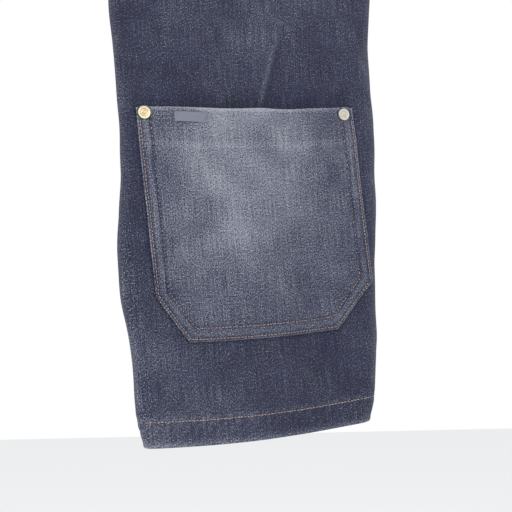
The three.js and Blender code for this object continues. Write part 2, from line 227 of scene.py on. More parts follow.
def looseWrinkle(u, v):
    u, v = np.asarray(u, float), np.asarray(v, float)
    x = hemX + u * cosT - v * sinT
    w = rippleAt(u, v) + shiftAt(u, v)
    creaseX = 4 * mm - (v - pocketCut["top"]) * 0.05
    strength = rise(v, 225 * mm, 300 * mm)
    w = w + wrinkle["crease"] * strength * bump(x, creaseX, 9 * mm)
    w = w - 0.8 * wrinkle["crease"] * strength * bump(x, creaseX + 19 * mm, 13 * mm)
    w = w + 0.5 * wrinkle["crease"] * rise(v, 250 * mm, 350 * mm) * bump(x, -62 * mm, 16 * mm)
    w = w + wrinkle["sharp"] * (sharpCrease(u, v, 4.5 * mm) - 0.7 * sharpCrease(u - 9 * mm, v, 6 * mm))
    waves = np.sin(2 * math.pi * (x + 0.12 * v) / wrinkle["waveLength"] + 0.6)
    w = w + wrinkle["wave"] * waves * rise(v, 330 * mm, 0)
    rope = np.sin(2 * math.pi * (u - 0.9 * v) / wrinkle["ropePitch"] + 1.2 * np.sin(u * 71))
    w = w + wrinkle["hemRope"] * rope * bump(v, wrinkle["hem"] * 0.75, 11 * mm)
    seam = np.sin(2 * math.pi * u / (11 * mm) + 1.7 * np.sin(u * 53))
    return w + wrinkle["bandSeam"] * seam * bump(v, hang["skirt"], 16 * mm) * (v < hang["skirt"])


def wrinkleAt(u, v):  # the cloth lies flat where a rivet clamps it
    w = looseWrinkle(u, v)
    for key in ("left", "right"):
        spot = rivets[key]
        near = np.exp(-((u - spot["u"]) ** 2 + (v - spot["v"]) ** 2) / rivets["clamped"] ** 2)
        w = w + near * (rivets["settle"] * looseWrinkle(spot["u"], spot["v"]) - w)
    return w


# The two side folds are not quite straight: the left one bows, both draw in at the hem.
foldShape = {
    "bow": 5.0 * mm,
    "bowAt": 125 * mm,
    "leftHem": 3 * mm,
    "rightTaper": 3.0 * mm,
    "rightHem": 3.5 * mm,
}


def foldLines(v):
    f = foldShape
    left = hang["foldLeft"] - f["bow"] * bump(v, f["bowAt"], 58 * mm) + f["leftHem"] * bump(v, 0, 12 * mm)
    left = left - settled(left, v)[0]
    right = hang["foldRight"] - f["rightTaper"] * rise(v, 70 * mm, 0) - f["rightHem"] * bump(v, 0, 11 * mm)
    return left, right


def lay(u, v, lift=0.0):  # points on the hung cloth, lift towards the room
    u, v, lift = np.broadcast_arrays(np.asarray(u, float), np.asarray(v, float), np.asarray(lift, float))
    foldLeft, foldRight = foldLines(v)
    out = lift + wrinkleAt(u, v)
    dx, dz = settled(u, v)
    x = hemX + u * cosT - v * sinT + dx
    z = hemZ + u * sinT + v * cosT + dz
    y = frontY - out
    run = np.maximum(foldLeft - u, 0)
    r = hang["leftRadius"]
    turn = np.minimum(run / r, math.pi)
    slide = run - np.sin(turn) * (r + out) + np.maximum(run - math.pi * r, 0)
    left = u < foldLeft
    runR = np.maximum(x - foldRight, 0)
    rR = hang["rightRadius"]
    turnR = np.minimum(runR / rR, math.pi)
    xR = foldRight + np.sin(turnR) * (rR + out) - np.maximum(runR - math.pi * rR, 0)
    right = x > foldRight
    px = np.where(left, x + slide * cosT, np.where(right, xR, x))
    pz = np.where(left, z + slide * sinT, z)
    yLeft = frontY + r - np.cos(turn) * (r + out)
    yRight = frontY + rR - np.cos(turnR) * (rR + out)
    py = np.where(left, yLeft, np.where(right, yRight, y))
    return np.stack([px, py, pz], -1)


# Camera, at standing height a step to the left of the hook and looking slightly up.
cameraAt = {
    "azimuth": -22.3,
    "elevation": -7.57,
    "distance": 857 * mm,
    "frameWide": 384 * mm,
    "shiftX": -0.0055,
    "shiftY": -0.0715,
}


def makeCamera():
    aim = Vector((hemX - pocketMiddle * sinT, frontY, hemZ + pocketMiddle * cosT))
    a, e = math.radians(cameraAt["azimuth"]), math.radians(cameraAt["elevation"])
    back = Vector((math.sin(a) * math.cos(e), -math.cos(a) * math.cos(e), math.sin(e)))
    data = bpy.data.cameras.new("camera")
    data.sensor_width = 36
    data.lens = 36 * cameraAt["distance"] / cameraAt["frameWide"]
    data.shift_x = cameraAt["shiftX"]
    data.shift_y = cameraAt["shiftY"]
    data.clip_end = 50
    camera = bpy.data.objects.new("camera", data)
    camera.location = aim + back * cameraAt["distance"]
    camera.rotation_euler = back.to_track_quat("Z", "Y").to_euler()
    bpy.context.scene.collection.objects.link(camera)
    bpy.context.scene.camera = camera


makeCamera()
print("camera set")


# Shader node groups and materials.
def newGroup(name, inputs, outputs):
    group = bpy.data.node_groups.new(name, "ShaderNodeTree")
    for label, kind, value in inputs:
        socket = group.interface.new_socket(label, in_out="INPUT", socket_type=kind)
        if value is not None:
            socket.default_value = value
    for label, kind in outputs:
        group.interface.new_socket(label, in_out="OUTPUT", socket_type=kind)
    return group, group.nodes.new("NodeGroupInput"), group.nodes.new("NodeGroupOutput")


def addNode(tree, kind, settings=None, **inputs):
    node = tree.nodes.new(kind)
    for key, value in (settings or {}).items():
        setattr(node, key, value)
    for key, value in inputs.items():
        socket = node.inputs[int(key[1:])] if key[0] == "i" and key[1:].isdigit() else node.inputs[key]
        if isinstance(value, bpy.types.NodeSocket):
            tree.links.new(value, socket)
        else:
            socket.default_value = value
    return node


def mathNode(tree, operation, a, b=0.0, c=0.0, clamp=False):
    node = addNode(tree, "ShaderNodeMath", {"operation": operation, "use_clamp": clamp}, i0=a, i1=b)
    if operation == "MULTIPLY_ADD":
        if isinstance(c, bpy.types.NodeSocket):
            tree.links.new(c, node.inputs[2])
        else:
            node.inputs[2].default_value = c
    return node.outputs[0]


def stretched(tree, vector, scale):
    return addNode(tree, "ShaderNodeVectorMath", {"operation": "MULTIPLY"}, i0=vector, i1=scale).outputs[0]


def noiseAt(tree, vector, scale, detail=2.0, roughness=0.5):
    node = addNode(tree, "ShaderNodeTexNoise", Vector=vector, Scale=scale, Detail=detail, Roughness=roughness)
    return node.outputs["Fac"]


def makeTwillGroup():
    group, source, sink = newGroup(
        "twillWeave",
        [("Cloth", "NodeSocketVector", None), ("Pitch", "NodeSocketFloat", 0.75 * mm)],
        [("Height", "NodeSocketFloat"), ("Streak", "NodeSocketFloat"), ("Speckle", "NodeSocketFloat")],
    )
    cloth, pitch = source.outputs["Cloth"], source.outputs["Pitch"]
    wobble = noiseAt(group, stretched(group, cloth, (900, 260, 1)), 1.0, 2.0)
    axes = addNode(group, "ShaderNodeSeparateXYZ", i0=cloth)
    slant = mathNode(group, "MULTIPLY_ADD", axes.outputs[1], -0.55, axes.outputs[0])
    cycles = mathNode(group, "DIVIDE", slant, pitch)
    phase = mathNode(group, "MULTIPLY_ADD", wobble, 1.1, cycles)
    ridge = mathNode(group, "SINE", mathNode(group, "MULTIPLY", phase, 2 * math.pi))
    rowsAcross = mathNode(group, "DIVIDE", axes.outputs[1], pitch)
    yarns = mathNode(group, "SINE", mathNode(group, "MULTIPLY", rowsAcross, 4 * math.pi))
    height = mathNode(group, "MULTIPLY_ADD", yarns, 0.25, ridge)
    streak = noiseAt(group, stretched(group, cloth, (1500, 38, 1)), 1.0, 3.0, 0.6)
    speckle = noiseAt(group, stretched(group, cloth, (1900, 900, 1)), 1.0, 1.0, 0.6)
    group.links.new(height, sink.inputs["Height"])
    group.links.new(streak, sink.inputs["Streak"])
    group.links.new(speckle, sink.inputs["Speckle"])
    return group


twillGroup = makeTwillGroup()


def newMaterial(name):
    material = bpy.data.materials.new(name)
    material.use_nodes = True
    tree = material.node_tree
    shader = tree.nodes["Principled BSDF"]
    return material, tree, shader


def linear(r, g, b):  # screen colour to the shader's own scale
    shares = (r / 255, g / 255, b / 255)
    return tuple(((c + 0.055) / 1.055) ** 2.4 for c in shares) + (1.0,)


def mixColour(tree, fac, a, b):
    node = addNode(tree, "ShaderNodeMix", {"data_type": "RGBA", "clamp_factor": True})
    for socket, value in ((node.inputs[0], fac), (node.inputs[6], a), (node.inputs[7], b)):
        if isinstance(value, bpy.types.NodeSocket):
            tree.links.new(value, socket)
        else:
            socket.default_value = value
    return node.outputs[2]


denimLook = {
    "deep": linear(22, 25, 42),
    "mid": linear(70, 74, 92),
    "pale": linear(152, 155, 165),
    "violet": linear(46, 40, 84),
    "reverse": linear(136, 141, 152),
    "pitch": 0.78 * mm,
    "base": 0.16,
    "ridge": 0.10,
    "streak": 0.95,
    "speckle": 2.5,
    "cloud": 0.5,
    "violetShare": 0.35,
    "reverseShare": 0.7,
    "roughness": 0.86,
    "sheen": 0.06,
    "sheenRoughness": 0.45,
    "specular": 0.25,
}


def makeDenim(name, reverse=False):
    look = denimLook
    material, tree, shader = newMaterial(name)
    cloth = addNode(tree, "ShaderNodeUVMap", {"uv_map": "cloth"}).outputs[0]
    weave = addNode(tree, "ShaderNodeGroup", {"node_tree": twillGroup}, Cloth=cloth, Pitch=look["pitch"])
    height, streak, speckle = weave.outputs
    # per-point colour offset: wear, plus painted highlight and painted shade on the panel and pocket
    wearAndShade = addNode(tree, "ShaderNodeAttribute", {"attribute_name": "wearAndShade"}).outputs["Fac"]
    cloud = noiseAt(tree, cloth, 26.0, 4.0, 0.62)
    amount = mathNode(tree, "MULTIPLY_ADD", height, look["ridge"], look["base"])
    for pattern, strength in ((streak, look["streak"]), (speckle, look["speckle"]), (cloud, look["cloud"])):
        centred = mathNode(tree, "SUBTRACT", pattern, 0.5)
        amount = mathNode(tree, "MULTIPLY_ADD", centred, strength, amount)
    amount = mathNode(tree, "ADD", amount, wearAndShade, clamp=True)
    low = mathNode(tree, "MULTIPLY", amount, 2.2, clamp=True)
    high = mathNode(tree, "MULTIPLY_ADD", amount, 1.7, -0.7, clamp=True)
    dark = mixColour(tree, low, look["deep"], look["mid"])
    colour = mixColour(tree, high, dark, look["pale"])
    hue = noiseAt(tree, cloth, 34.0, 2.0, 0.5)
    hue = mathNode(tree, "MULTIPLY_ADD", hue, 1.6, -0.45, clamp=True)
    violet = mixColour(tree, low, look["violet"], colour)
    colour = mixColour(tree, mathNode(tree, "MULTIPLY", hue, look["violetShare"]), colour, violet)
    if reverse:
        colour = mixColour(tree, look["reverseShare"], colour, look["reverse"])
    tree.links.new(colour, shader.inputs["Base Color"])
    fine = mathNode(tree, "MULTIPLY_ADD", speckle, 1.6, height)
    bumpNode = addNode(tree, "ShaderNodeBump", Strength=0.55, Distance=0.12 * mm, Height=fine)
    tree.links.new(bumpNode.outputs[0], shader.inputs["Normal"])
    shader.inputs["Roughness"].default_value = look["roughness"]
    shader.inputs["Sheen Weight"].default_value = look["sheen"]
    shader.inputs["Sheen Roughness"].default_value = look["sheenRoughness"]
    shader.inputs["Specular IOR Level"].default_value = look["specular"]
    return material


def makeTapeMaterial(name, colourA, colourB, pitch):
    material, tree, shader = newMaterial(name)
    cloth = addNode(tree, "ShaderNodeUVMap", {"uv_map": "cloth"}).outputs[0]
    weave = addNode(tree, "ShaderNodeGroup", {"node_tree": twillGroup}, Cloth=cloth, Pitch=pitch)
    height, streak, speckle = weave.outputs
    fac = mathNode(tree, "MULTIPLY_ADD", height, 0.22, mathNode(tree, "MULTIPLY_ADD", speckle, 0.8, -0.05))
    tree.links.new(mixColour(tree, fac, colourA, colourB), shader.inputs["Base Color"])
    bumpNode = addNode(tree, "ShaderNodeBump", Strength=0.6, Distance=0.15 * mm, Height=height)
    tree.links.new(bumpNode.outputs[0], shader.inputs["Normal"])
    shader.inputs["Roughness"].default_value = 0.8
    shader.inputs["Sheen Weight"].default_value = 0.15
    shader.inputs["Specular IOR Level"].default_value = 0.25
    return material


def makeThread(name, colourA, colourB):
    material, tree, shader = newMaterial(name)
    place = addNode(tree, "ShaderNodeTexCoord").outputs["Object"]
    twist = noiseAt(tree, stretched(tree, place, (4200, 4200, 4200)), 1.0, 1.0)
    patch = noiseAt(tree, place, 45.0, 3.0, 0.6)
    fac = mathNode(tree, "MULTIPLY_ADD", twist, 0.5, mathNode(tree, "MULTIPLY_ADD", patch, 1.3, -0.45))
    tree.links.new(mixColour(tree, fac, colourA, colourB), shader.inputs["Base Color"])
    bumpNode = addNode(tree, "ShaderNodeBump", Strength=0.4, Distance=0.1 * mm, Height=twist)
    tree.links.new(bumpNode.outputs[0], shader.inputs["Normal"])
    shader.inputs["Roughness"].default_value = 0.6
    shader.inputs["Sheen Weight"].default_value = 0.2
    return material


def makeMetal(name, colour, dull, roughness, brushScale, brush=0.12):
    material, tree, shader = newMaterial(name)
    place = addNode(tree, "ShaderNodeTexCoord").outputs["Object"]
    grain = noiseAt(tree, stretched(tree, place, brushScale), 1.0, 4.0, 0.6)
    patch = noiseAt(tree, place, 160.0, 3.0, 0.6)
    # per-point darkening read from the mesh, set on the rivets
    darkening = addNode(tree, "ShaderNodeAttribute", {"attribute_name": "wearAndShade"}).outputs["Fac"]
    fac = mathNode(tree, "ADD", mathNode(tree, "MULTIPLY_ADD", patch, 0.9, -0.2), darkening, clamp=True)
    tree.links.new(mixColour(tree, fac, colour, dull), shader.inputs["Base Color"])
    rough = mathNode(tree, "MULTIPLY_ADD", grain, brush, roughness)
    tree.links.new(mathNode(tree, "MULTIPLY_ADD", fac, 0.15, rough), shader.inputs["Roughness"])
    bumpNode = addNode(tree, "ShaderNodeBump", Strength=0.15, Distance=0.05 * mm, Height=grain)
    tree.links.new(bumpNode.outputs[0], shader.inputs["Normal"])
    shader.inputs["Metallic"].default_value = 1.0
    return material


denim = makeDenim("indigoDenim")
denimReverse = makeDenim("indigoDenimReverse", reverse=True)
loopTape = makeTapeMaterial("loopTape", linear(44, 47, 62), linear(92, 97, 114), 0.9 * mm)
labelWeave = makeTapeMaterial("labelWeave", linear(92, 96, 112), linear(148, 151, 162), 0.5 * mm)
goldThread = makeThread("goldThread", linear(158, 118, 92), linear(206, 186, 160))
facingThread = makeThread("facingThread", linear(104, 102, 106), linear(150, 146, 142))
tonalThread = makeThread("tonalThread", linear(70, 74, 92), linear(100, 104, 120))
# one pale brass, painted lighter for the left rivet and darker for the right as painted light and shade
brassLitAndShaded = {
    "left": (linear(248, 238, 202), linear(140, 116, 72)),
    "right": (linear(206, 202, 192), linear(122, 114, 100)),
}
brassGrain = (900, 900, 900)
paleBrass = {key: makeMetal(key + "PaleBrass", *brassLitAndShaded[key], 0.4, brassGrain) for key in brassLitAndShaded}
satinSteel = makeMetal("satinSteel", linear(158, 158, 160), linear(128, 128, 130), 0.28, (2600, 60, 60))
zincSteel = makeMetal("zincSteel", linear(178, 179, 180), linear(132, 132, 128), 0.26, (900, 900, 900))
print("materials ready")


# Pieces made from grids of cloth points.
def linkPiece(name, mesh, materials):
    piece = bpy.data.objects.new(name, mesh)
    for material in materials:
        mesh.materials.append(material)
    bpy.context.scene.collection.objects.link(piece)
    return piece


# Grid over columns x rows. place(i, j) gives points and cloth coordinates for index arrays.
def gridPiece(name, columns, rows, place, materials, wearAndShade=None, wrap=False):
    bm = bmesh.new()
    bmesh.ops.create_grid(bm, x_segments=columns - 1, y_segments=rows - 1, size=1)
    co = np.array([v.co[:] for v in bm.verts])
    i = np.rint((co[:, 0] + 1) / 2 * (columns - 1)).astype(int)
    j = np.rint((co[:, 1] + 1) / 2 * (rows - 1)).astype(int)
    points, cloth = place(i, j)
    uvLayer = bm.loops.layers.uv.new("cloth")
    # per-point colour offset: wear, plus painted highlight and painted shade on the panel and pocket
    wearAndShadeLayer = bm.verts.layers.float.new("wearAndShade")
    wearAndShadeValues = np.zeros(len(i)) if wearAndShade is None else wearAndShade(cloth[:, 0], cloth[:, 1])
    for index, vert in enumerate(bm.verts):
        vert.co = points[index]
        vert[wearAndShadeLayer] = wearAndShadeValues[index]
        for loop in vert.link_loops:
            loop[uvLayer].uv = cloth[index]
    if wrap:
        bmesh.ops.remove_doubles(bm, verts=bm.verts, dist=1e-6)
        rims = [edge for edge in bm.edges if edge.is_boundary]
        bmesh.ops.holes_fill(bm, edges=rims, sides=0)
        bmesh.ops.recalc_face_normals(bm, faces=bm.faces)
    mesh = bpy.data.meshes.new(name)
    bm.to_mesh(mesh)
    bm.free()
    mesh.shade_smooth()
    return linkPiece(name, mesh, materials)


def thicken(piece, thickness, inside=False):
    solid = piece.modifiers.new("thickness", "SOLIDIFY")
    solid.thickness = thickness
    solid.offset = 0
    solid.use_even_offset = False
    if inside:
        solid.material_offset = 1
        solid.material_offset_rim = 0


def spaced(low, high, step):
    count = max(2, int(round((high - low) / step)) + 1)
    return np.linspace(low, high, count)


# Path of cloth turned back at an edge: from the raw edge to the fold, as (place, lift).
def turnedEdge(edge, depth, inward, gap, step):
    flat = [(edge + inward * s, -gap) for s in spaced(depth, 0.7 * gap, step)]
    angles = np.linspace(-math.pi / 2, math.pi / 2, 6)[1:-1]
    bend = [(edge + inward * gap / 2 * (1 - math.cos(a)), -gap / 2 + gap / 2 * math.sin(a)) for a in angles]
    return flat + bend


# Settling trial: a coarse copy of the cloth, cut a little large, hangs from the waistband seam.
trial = {
    "step": 8 * mm,
    "frames": 30,
    "spare": 0.016,  # extra cloth
    "cap": 2.6 * mm,  # the cloth moves out no further than this
    "quality": 6,
    "mass": 0.05,
    "stretch": 25,
    "shear": 8,
    "bend": 1.5,
    "air": 3,
    "pinStiffness": 0.6,
    "pocketHold": 0.06,
    "skirtHold": 0.02,
    "smoothing": 2,
}


def settleUnderWeight():
    high = hang["skirt"] + 20 * mm
    columns = int(round((sideRight - sideLeft) / trial["step"])) + 1
    rows = int(round(high / trial["step"])) + 1
    us, vs = np.linspace(sideLeft, sideRight, columns), np.linspace(0, high, rows)
    order = {}

    def place(i, j):
        order["i"], order["j"] = i, j
        return lay(us[i], vs[j]), np.stack([us[i], vs[j]], -1)

    piece = gridPiece("settlingTrial", columns, rows, place, [])
    start = np.array([vert.co[:] for vert in piece.data.vertices])
    pins = piece.vertex_groups.new(name="pins")
    i, j = order["i"], order["j"]
    inPocket = (vs[j] > pocketCut["bottom"]) & (vs[j] < pocketCut["top"])
    inPocket = inPocket & (np.abs(us[i]) < pocketCut["half"])
    loose = np.where(inPocket, trial["pocketHold"], trial["skirtHold"])
    holds = np.where(vs[j] > hang["skirt"] - 4 * mm, 1.0, loose)
    for index, hold in enumerate(holds):
        pins.add([index], float(hold), "REPLACE")
    cloth = piece.modifiers.new("settle", "CLOTH")
    cloth.settings.quality = trial["quality"]
    cloth.settings.mass = trial["mass"]
    cloth.settings.tension_stiffness = trial["stretch"]
    cloth.settings.compression_stiffness = trial["stretch"]
    cloth.settings.shear_stiffness = trial["shear"]
    cloth.settings.bending_stiffness = trial["bend"]
    cloth.settings.air_damping = trial["air"]
    cloth.settings.vertex_group_mass = "pins"
    cloth.settings.pin_stiffness = trial["pinStiffness"]
    cloth.settings.shrink_min = -trial["spare"]
    cloth.collision_settings.use_collision = False
    cloth.collision_settings.use_self_collision = False
    cloth.point_cache.frame_start = 1
    cloth.point_cache.frame_end = trial["frames"]
    scene = bpy.context.scene
    for frame in range(1, trial["frames"] + 1):
        scene.frame_set(frame)
    settledPiece = piece.evaluated_get(bpy.context.evaluated_depsgraph_get())
    end = np.array([vert.co[:] for vert in settledPiece.data.vertices])
    outward = lay(us[i], vs[j], 1 * mm) - lay(us[i], vs[j])
    outward /= np.linalg.norm(outward, axis=1)[:, None]
    shift = ((end - start) * outward).sum(1)
    shift = trial["cap"] * np.tanh(shift / trial["cap"])
    shift = shift * (1 - rise(vs[j], hang["skirt"] - 30 * mm, hang["skirt"]))
    grid = np.zeros((rows, columns))
    grid[j, i] = shift
    for _ in range(trial["smoothing"]):
        padded = np.pad(grid, 1, mode="edge")
        upDown = padded[:-2, 1:-1] + padded[2:, 1:-1]
        sideways = padded[1:-1, :-2] + padded[1:-1, 2:]
        grid = (upDown + sideways + 2 * grid) / 6
    print("settled, shift range mm", round(grid.min() * 1000, 2), round(grid.max() * 1000, 2))
    scene.frame_set(1)
    trialMesh = piece.data
    bpy.data.objects.remove(piece)
    bpy.data.meshes.remove(trialMesh)
    settledShift.update(grid=grid, high=high)


settleUnderWeight()


sheetCut = {
    "thick": 0.95 * mm,
    "gap": 1.15 * mm,
    "sideHem": 11 * mm,
    "raw": 26 * mm,  # how far the panel runs up inside the waistband
    "step": 2.7 * mm,
}


panelWearAndShade = {
    "base": -0.10,
    "lowerLeft": 0.16,
    "hemEdge": 0.30,
    "hemStep": 0.12,
    "rope": 0.055,
    "leftFold": 0.16,
    "rightFold": 0.14,
    # painted highlight on the crease ridge and painted shade beside it
    "crease": 0.26,
    "creaseShade": 0.12,
    "upper": 0.15,
    # painted shadow just above the pocket mouth
    "shadowOverPocket": 0.10,
}


def panelWearAndShadeAt(u, v):  # paler along the hem, its roping, the side folds and the upper panel; painted highlight on the crease ridge, painted shade beside it and a painted shadow above the pocket mouth
    wear = panelWearAndShade
    base = wear["base"] + wear["lowerLeft"] * rise(u, 40 * mm, -100 * mm) * rise(v, 190 * mm, 20 * mm)
    hemRidge = wear["hemEdge"] * bump(v, 1.0 * mm, 2.2 * mm)
    hemRidge = hemRidge + wear["hemStep"] * bump(v, wrinkle["hem"], 1.6 * mm)
    rope = wear["rope"] * np.sin(2 * math.pi * (u - 0.9 * v) / wrinkle["ropePitch"] + 1.2 * np.sin(u * 71))
    x = hemX + u * cosT - v * sinT
    foldLeft, foldRight = foldLines(v)
    folds = wear["leftFold"] * bump(u, foldLeft - 9 * mm, 5 * mm)
    folds = folds + wear["rightFold"] * bump(x, foldRight + 13 * mm, 9 * mm)
    # painted highlight along the crease ridge, painted shade beside it
    folds = folds + wear["crease"] * sharpCrease(u, v, 1.8 * mm)
    folds = folds - wear["creaseShade"] * sharpCrease(u - 5 * mm, v, 3 * mm)
    folds = folds + wear["upper"] * rise(v, 235 * mm, 320 * mm) * bump(u, 8 * mm, 72 * mm)
    # painted shadow just above the pocket mouth
    shadow = wear["shadowOverPocket"] * bump(v, pocketCut["top"] + 6 * mm, 9 * mm) * (abs(u) < pocketCut["half"])
    return base + hemRidge + rope * bump(v, wrinkle["hem"] * 0.7, 10 * mm) + folds - shadow


def makePanel():
    c = sheetCut
    left = turnedEdge(sideLeft, c["sideHem"], 1, c["gap"], 3 * mm)
    right = turnedEdge(sideRight, c["sideHem"], -1, c["gap"], 3 * mm)[::-1]
    middle = [(u, 0.0) for u in spaced(sideLeft + 0.7 * c["gap"], sideRight - 0.7 * c["gap"], c["step"])]
    across = left + middle + right
    hem = turnedEdge(0, wrinkle["hem"], 1, c["gap"], 2.4 * mm)
    up = hem + [(v, 0.0) for v in spaced(0.7 * c["gap"], hang["skirt"] + c["raw"], c["step"])]
    us, uLift = np.array(across).T
    vs, vLift = np.array(up).T

    def place(i, j):
        u, v = us[i], vs[j]
        tuck = rise(v, hang["skirt"] + 2 * mm, hang["skirt"] + 8 * mm) * np.where(uLift[i] < 0, 0.4, 0)
        points = lay(u, v, uLift[i] * (1 - tuck) + vLift[j])
        turned = np.where(vLift[j] < -0.5 * c["gap"], -v, v)  # the hem's underside is cloth of its own
        return points, np.stack([u, turned], -1)

    piece = gridPiece("apronPanel", len(us), len(vs), place, [denim, denimReverse], panelWearAndShadeAt)
    thicken(piece, c["thick"], inside=True)
    return piece


def cornerShare(v):  # 1 on the pocket's bottom edge, 0 from the top of its cut corners up
    return np.clip(1 - (v - pocketCut["bottom"]) / pocketCut["cornerHigh"], 0, 1)


def pocketLift(u, v):
    p = pocketCut
    across = 1 - np.clip(np.abs(u) / p["half"], 0, 1) ** 2
    up = np.clip((v - p["bottom"]) / (p["top"] - p["bottom"]), 0, 1)
    return p["gape"] * across**2 * up**1.2


def outlineInset(u, v):  # how far a point lies inside the pocket's sides and bottom
    p = pocketCut
    u = u - p["floorShift"] * cornerShare(v)
    side = p["half"] - np.abs(u)
    floor = v - p["bottom"]
    overSide = (np.abs(u) - p["half"]) * p["cornerHigh"]
    overFloor = (v - p["bottom"] - p["cornerHigh"]) * p["cornerWide"]
    cut = (overFloor - overSide) / math.hypot(p["cornerWide"], p["cornerHigh"])
    return np.minimum(np.minimum(side, floor), cut)


seamRows = {"outer": 2.0 * mm, "inner": 9.8 * mm, "pitch": 2.65 * mm, "length": 2.3 * mm, "thread": 0.37 * mm}
pocketRelief = {
    "turned": 0.85 * mm,
    "rim": 0.55 * mm,
    "facing": 0.5 * mm,
    "quilt": 0.26 * mm,
    "seamDip": 0.22 * mm,
    "facingDip": 0.25 * mm,
    "mouth": 0.35 * mm,
    "facingSeam": 2.5 * mm,  # seam's height over the facing's lower edge
}


def pocketSurface(u, v):  # lift of the pocket cloth's middle over the panel's
    p, relief = pocketCut, pocketRelief
    inset = outlineInset(u, v)
    facingV = p["top"] - p["facing"]
    turned = relief["turned"] * rise(-inset, -p["turned"] - 1.4 * mm, -p["turned"] + 1.0 * mm)
    rim = relief["rim"] * (1 - rise(inset, -0.2 * mm, 1.5 * mm))
    facing = relief["facing"] * rise(v, facingV - 1.5 * mm, facingV + 1.0 * mm)
    across = np.abs(u) > p["half"] - 16 * mm
    run = np.where(across & (v > p["bottom"] + p["cornerHigh"]), v, u)
    pucker = np.sin(2 * math.pi * run / (9.5 * mm) + 1.4 * np.sin(run * 61))
    pucker = pucker + 0.5 * np.sin(run * 2 * math.pi / (5.7 * mm))
    quilt = relief["quilt"] * pucker * bump(inset, (seamRows["inner"] + seamRows["outer"]) / 2, 6 * mm)
    rows = bump(inset, seamRows["outer"], 0.9 * mm) + bump(inset, seamRows["inner"], 0.9 * mm)
    dips = relief["seamDip"] * rows
    facingRow = bump(v, facingV + relief["facingSeam"], 1.0 * mm) * rise(inset, 0, 6 * mm)
    facingDip = relief["facingDip"] * facingRow
    mouth = relief["mouth"] * np.sin(u * 2 * math.pi / (47 * mm) + 1.0) * rise(v, 190 * mm, p["top"])
    return p["seat"] + pocketLift(u, v) + turned - rim + facing + quilt - dips - facingDip + mouth


pocketWearAndShade = {
    "base": 0.08,
    "rim": 0.26,
    "strip": 0.10,
    "ridge": 0.10,
    "mouth": 0.28,
    "facing": 0.10,
    "middlePale": 0.42,
    "lowMiddlePale": 0.20,
    "cloud": 0.24,
    # painted shade in the seam grooves, stronger down the pocket's left side
    "groove": 0.24,
    "leftGrooveShade": 0.7,
}


# paler at the pocket's rims, raised ridges, mouth and middle; painted shade in the seam grooves
def pocketWearAndShadeAt(u, v):
    p, wear = pocketCut, pocketWearAndShade
    inset = outlineInset(u, v)
    rim = wear["rim"] * bump(inset, 0.4 * mm, 1.2 * mm) + wear["strip"] * bump(inset, 5.8 * mm, 2.4 * mm)
    ridge = wear["ridge"] * bump(inset, p["turned"] + 1.6 * mm, 1.1 * mm)
    mouth = wear["mouth"] * bump(v, p["top"], 1.8 * mm)
    mouth = mouth + wear["facing"] * bump(v, p["top"] - p["facing"], 1.5 * mm)
    # paler patches over the pocket's middle
    middlePale = wear["middlePale"] * bump(u, -8 * mm, 66 * mm) * rise(v, 95 * mm, 225 * mm)
    middlePale = middlePale + wear["lowMiddlePale"] * bump(u, -24 * mm, 50 * mm) * bump(v, 145 * mm, 60 * mm)
    cloud = np.sin(u * 92 + 1.3 * np.sin(v * 61)) * np.sin(v * 74 + 1.1 * np.sin(u * 47 + 0.8))
    middlePale = middlePale * (0.9 + wear["cloud"] * cloud)
    # painted shade in the two seam grooves, stronger down the pocket's left side
    groove = bump(inset, seamRows["outer"], 1.2 * mm) + bump(inset, seamRows["inner"], 1.2 * mm)
    leftSide = 1 + wear["leftGrooveShade"] * rise(u, -60 * mm, -80 * mm) * (v > p["bottom"] + p["cornerHigh"])
    return wear["base"] + rim + ridge + mouth + middlePale - wear["groove"] * groove * leftSide


def makePocket():
    p = pocketCut
    gap = 1.1 * mm
    facing = turnedEdge(0, p["facing"] - 1.5 * mm, 1, gap, 2.4 * mm)
    down = [(p["top"] - v, lift) for v, lift in facing][::-1]
    rows = [(v, 0.0) for v in spaced(p["bottom"], p["top"] - 0.7 * gap, 2.1 * mm)] + down
    shares = np.concatenate([
        [-1, -0.996, -0.988, -0.975],
        np.linspace(-0.96, 0.96, 86),
        [0.975, 0.988, 0.996, 1],
    ])
    vs, lifts = np.array(rows).T

    def place(i, j):
        v = vs[j]
        cut = cornerShare(v) * p["cornerWide"]
        inFacing = lifts[j] < -0.5 * gap
        edge = p["half"] - cut - np.where(inFacing, 0.8 * mm, 0)
        u = shares[i] * edge + p["floorShift"] * cornerShare(v)
        corner = rise(np.abs(u), p["half"] - 6 * mm, p["half"]) * rise(v, p["top"] - 4 * mm, p["top"])
        lift = pocketSurface(u, v) + lifts[j]
        turned = np.where(inFacing, 2 * p["top"] - v, v)
        return lay(u, v - 1.6 * mm * corner, lift), np.stack([u, turned], -1)

    piece = gridPiece("frontPocket", len(shares), len(vs), place, [denim, denimReverse], pocketWearAndShadeAt)
    thicken(piece, sheetCut["thick"], inside=True)
    return piece


bandCut = {"thick": 0.95 * mm, "half": 1.35 * mm, "overhang": 2 * mm, "step": 2.8 * mm, "pucker": 0.22 * mm}
bandWear = {"base": -0.06, "top": 0.26, "bottom": 0.18, "rope": 0.055}


def bandPucker(u):
    return np.sin(2 * math.pi * u / (9.5 * mm) + 1.3 * np.sin(u * 47))


def bandFade(u, v):
    edges = bandWear["top"] * bump(v, bandTop, 1.8 * mm)
    edges = edges + bandWear["bottom"] * bump(v, hang["skirt"], 1.8 * mm)
    rope = bandWear["rope"] * bandPucker(u)
    return bandWear["base"] + edges + rope * (bump(v, bandTop, 9 * mm) + bump(v, hang["skirt"], 9 * mm))


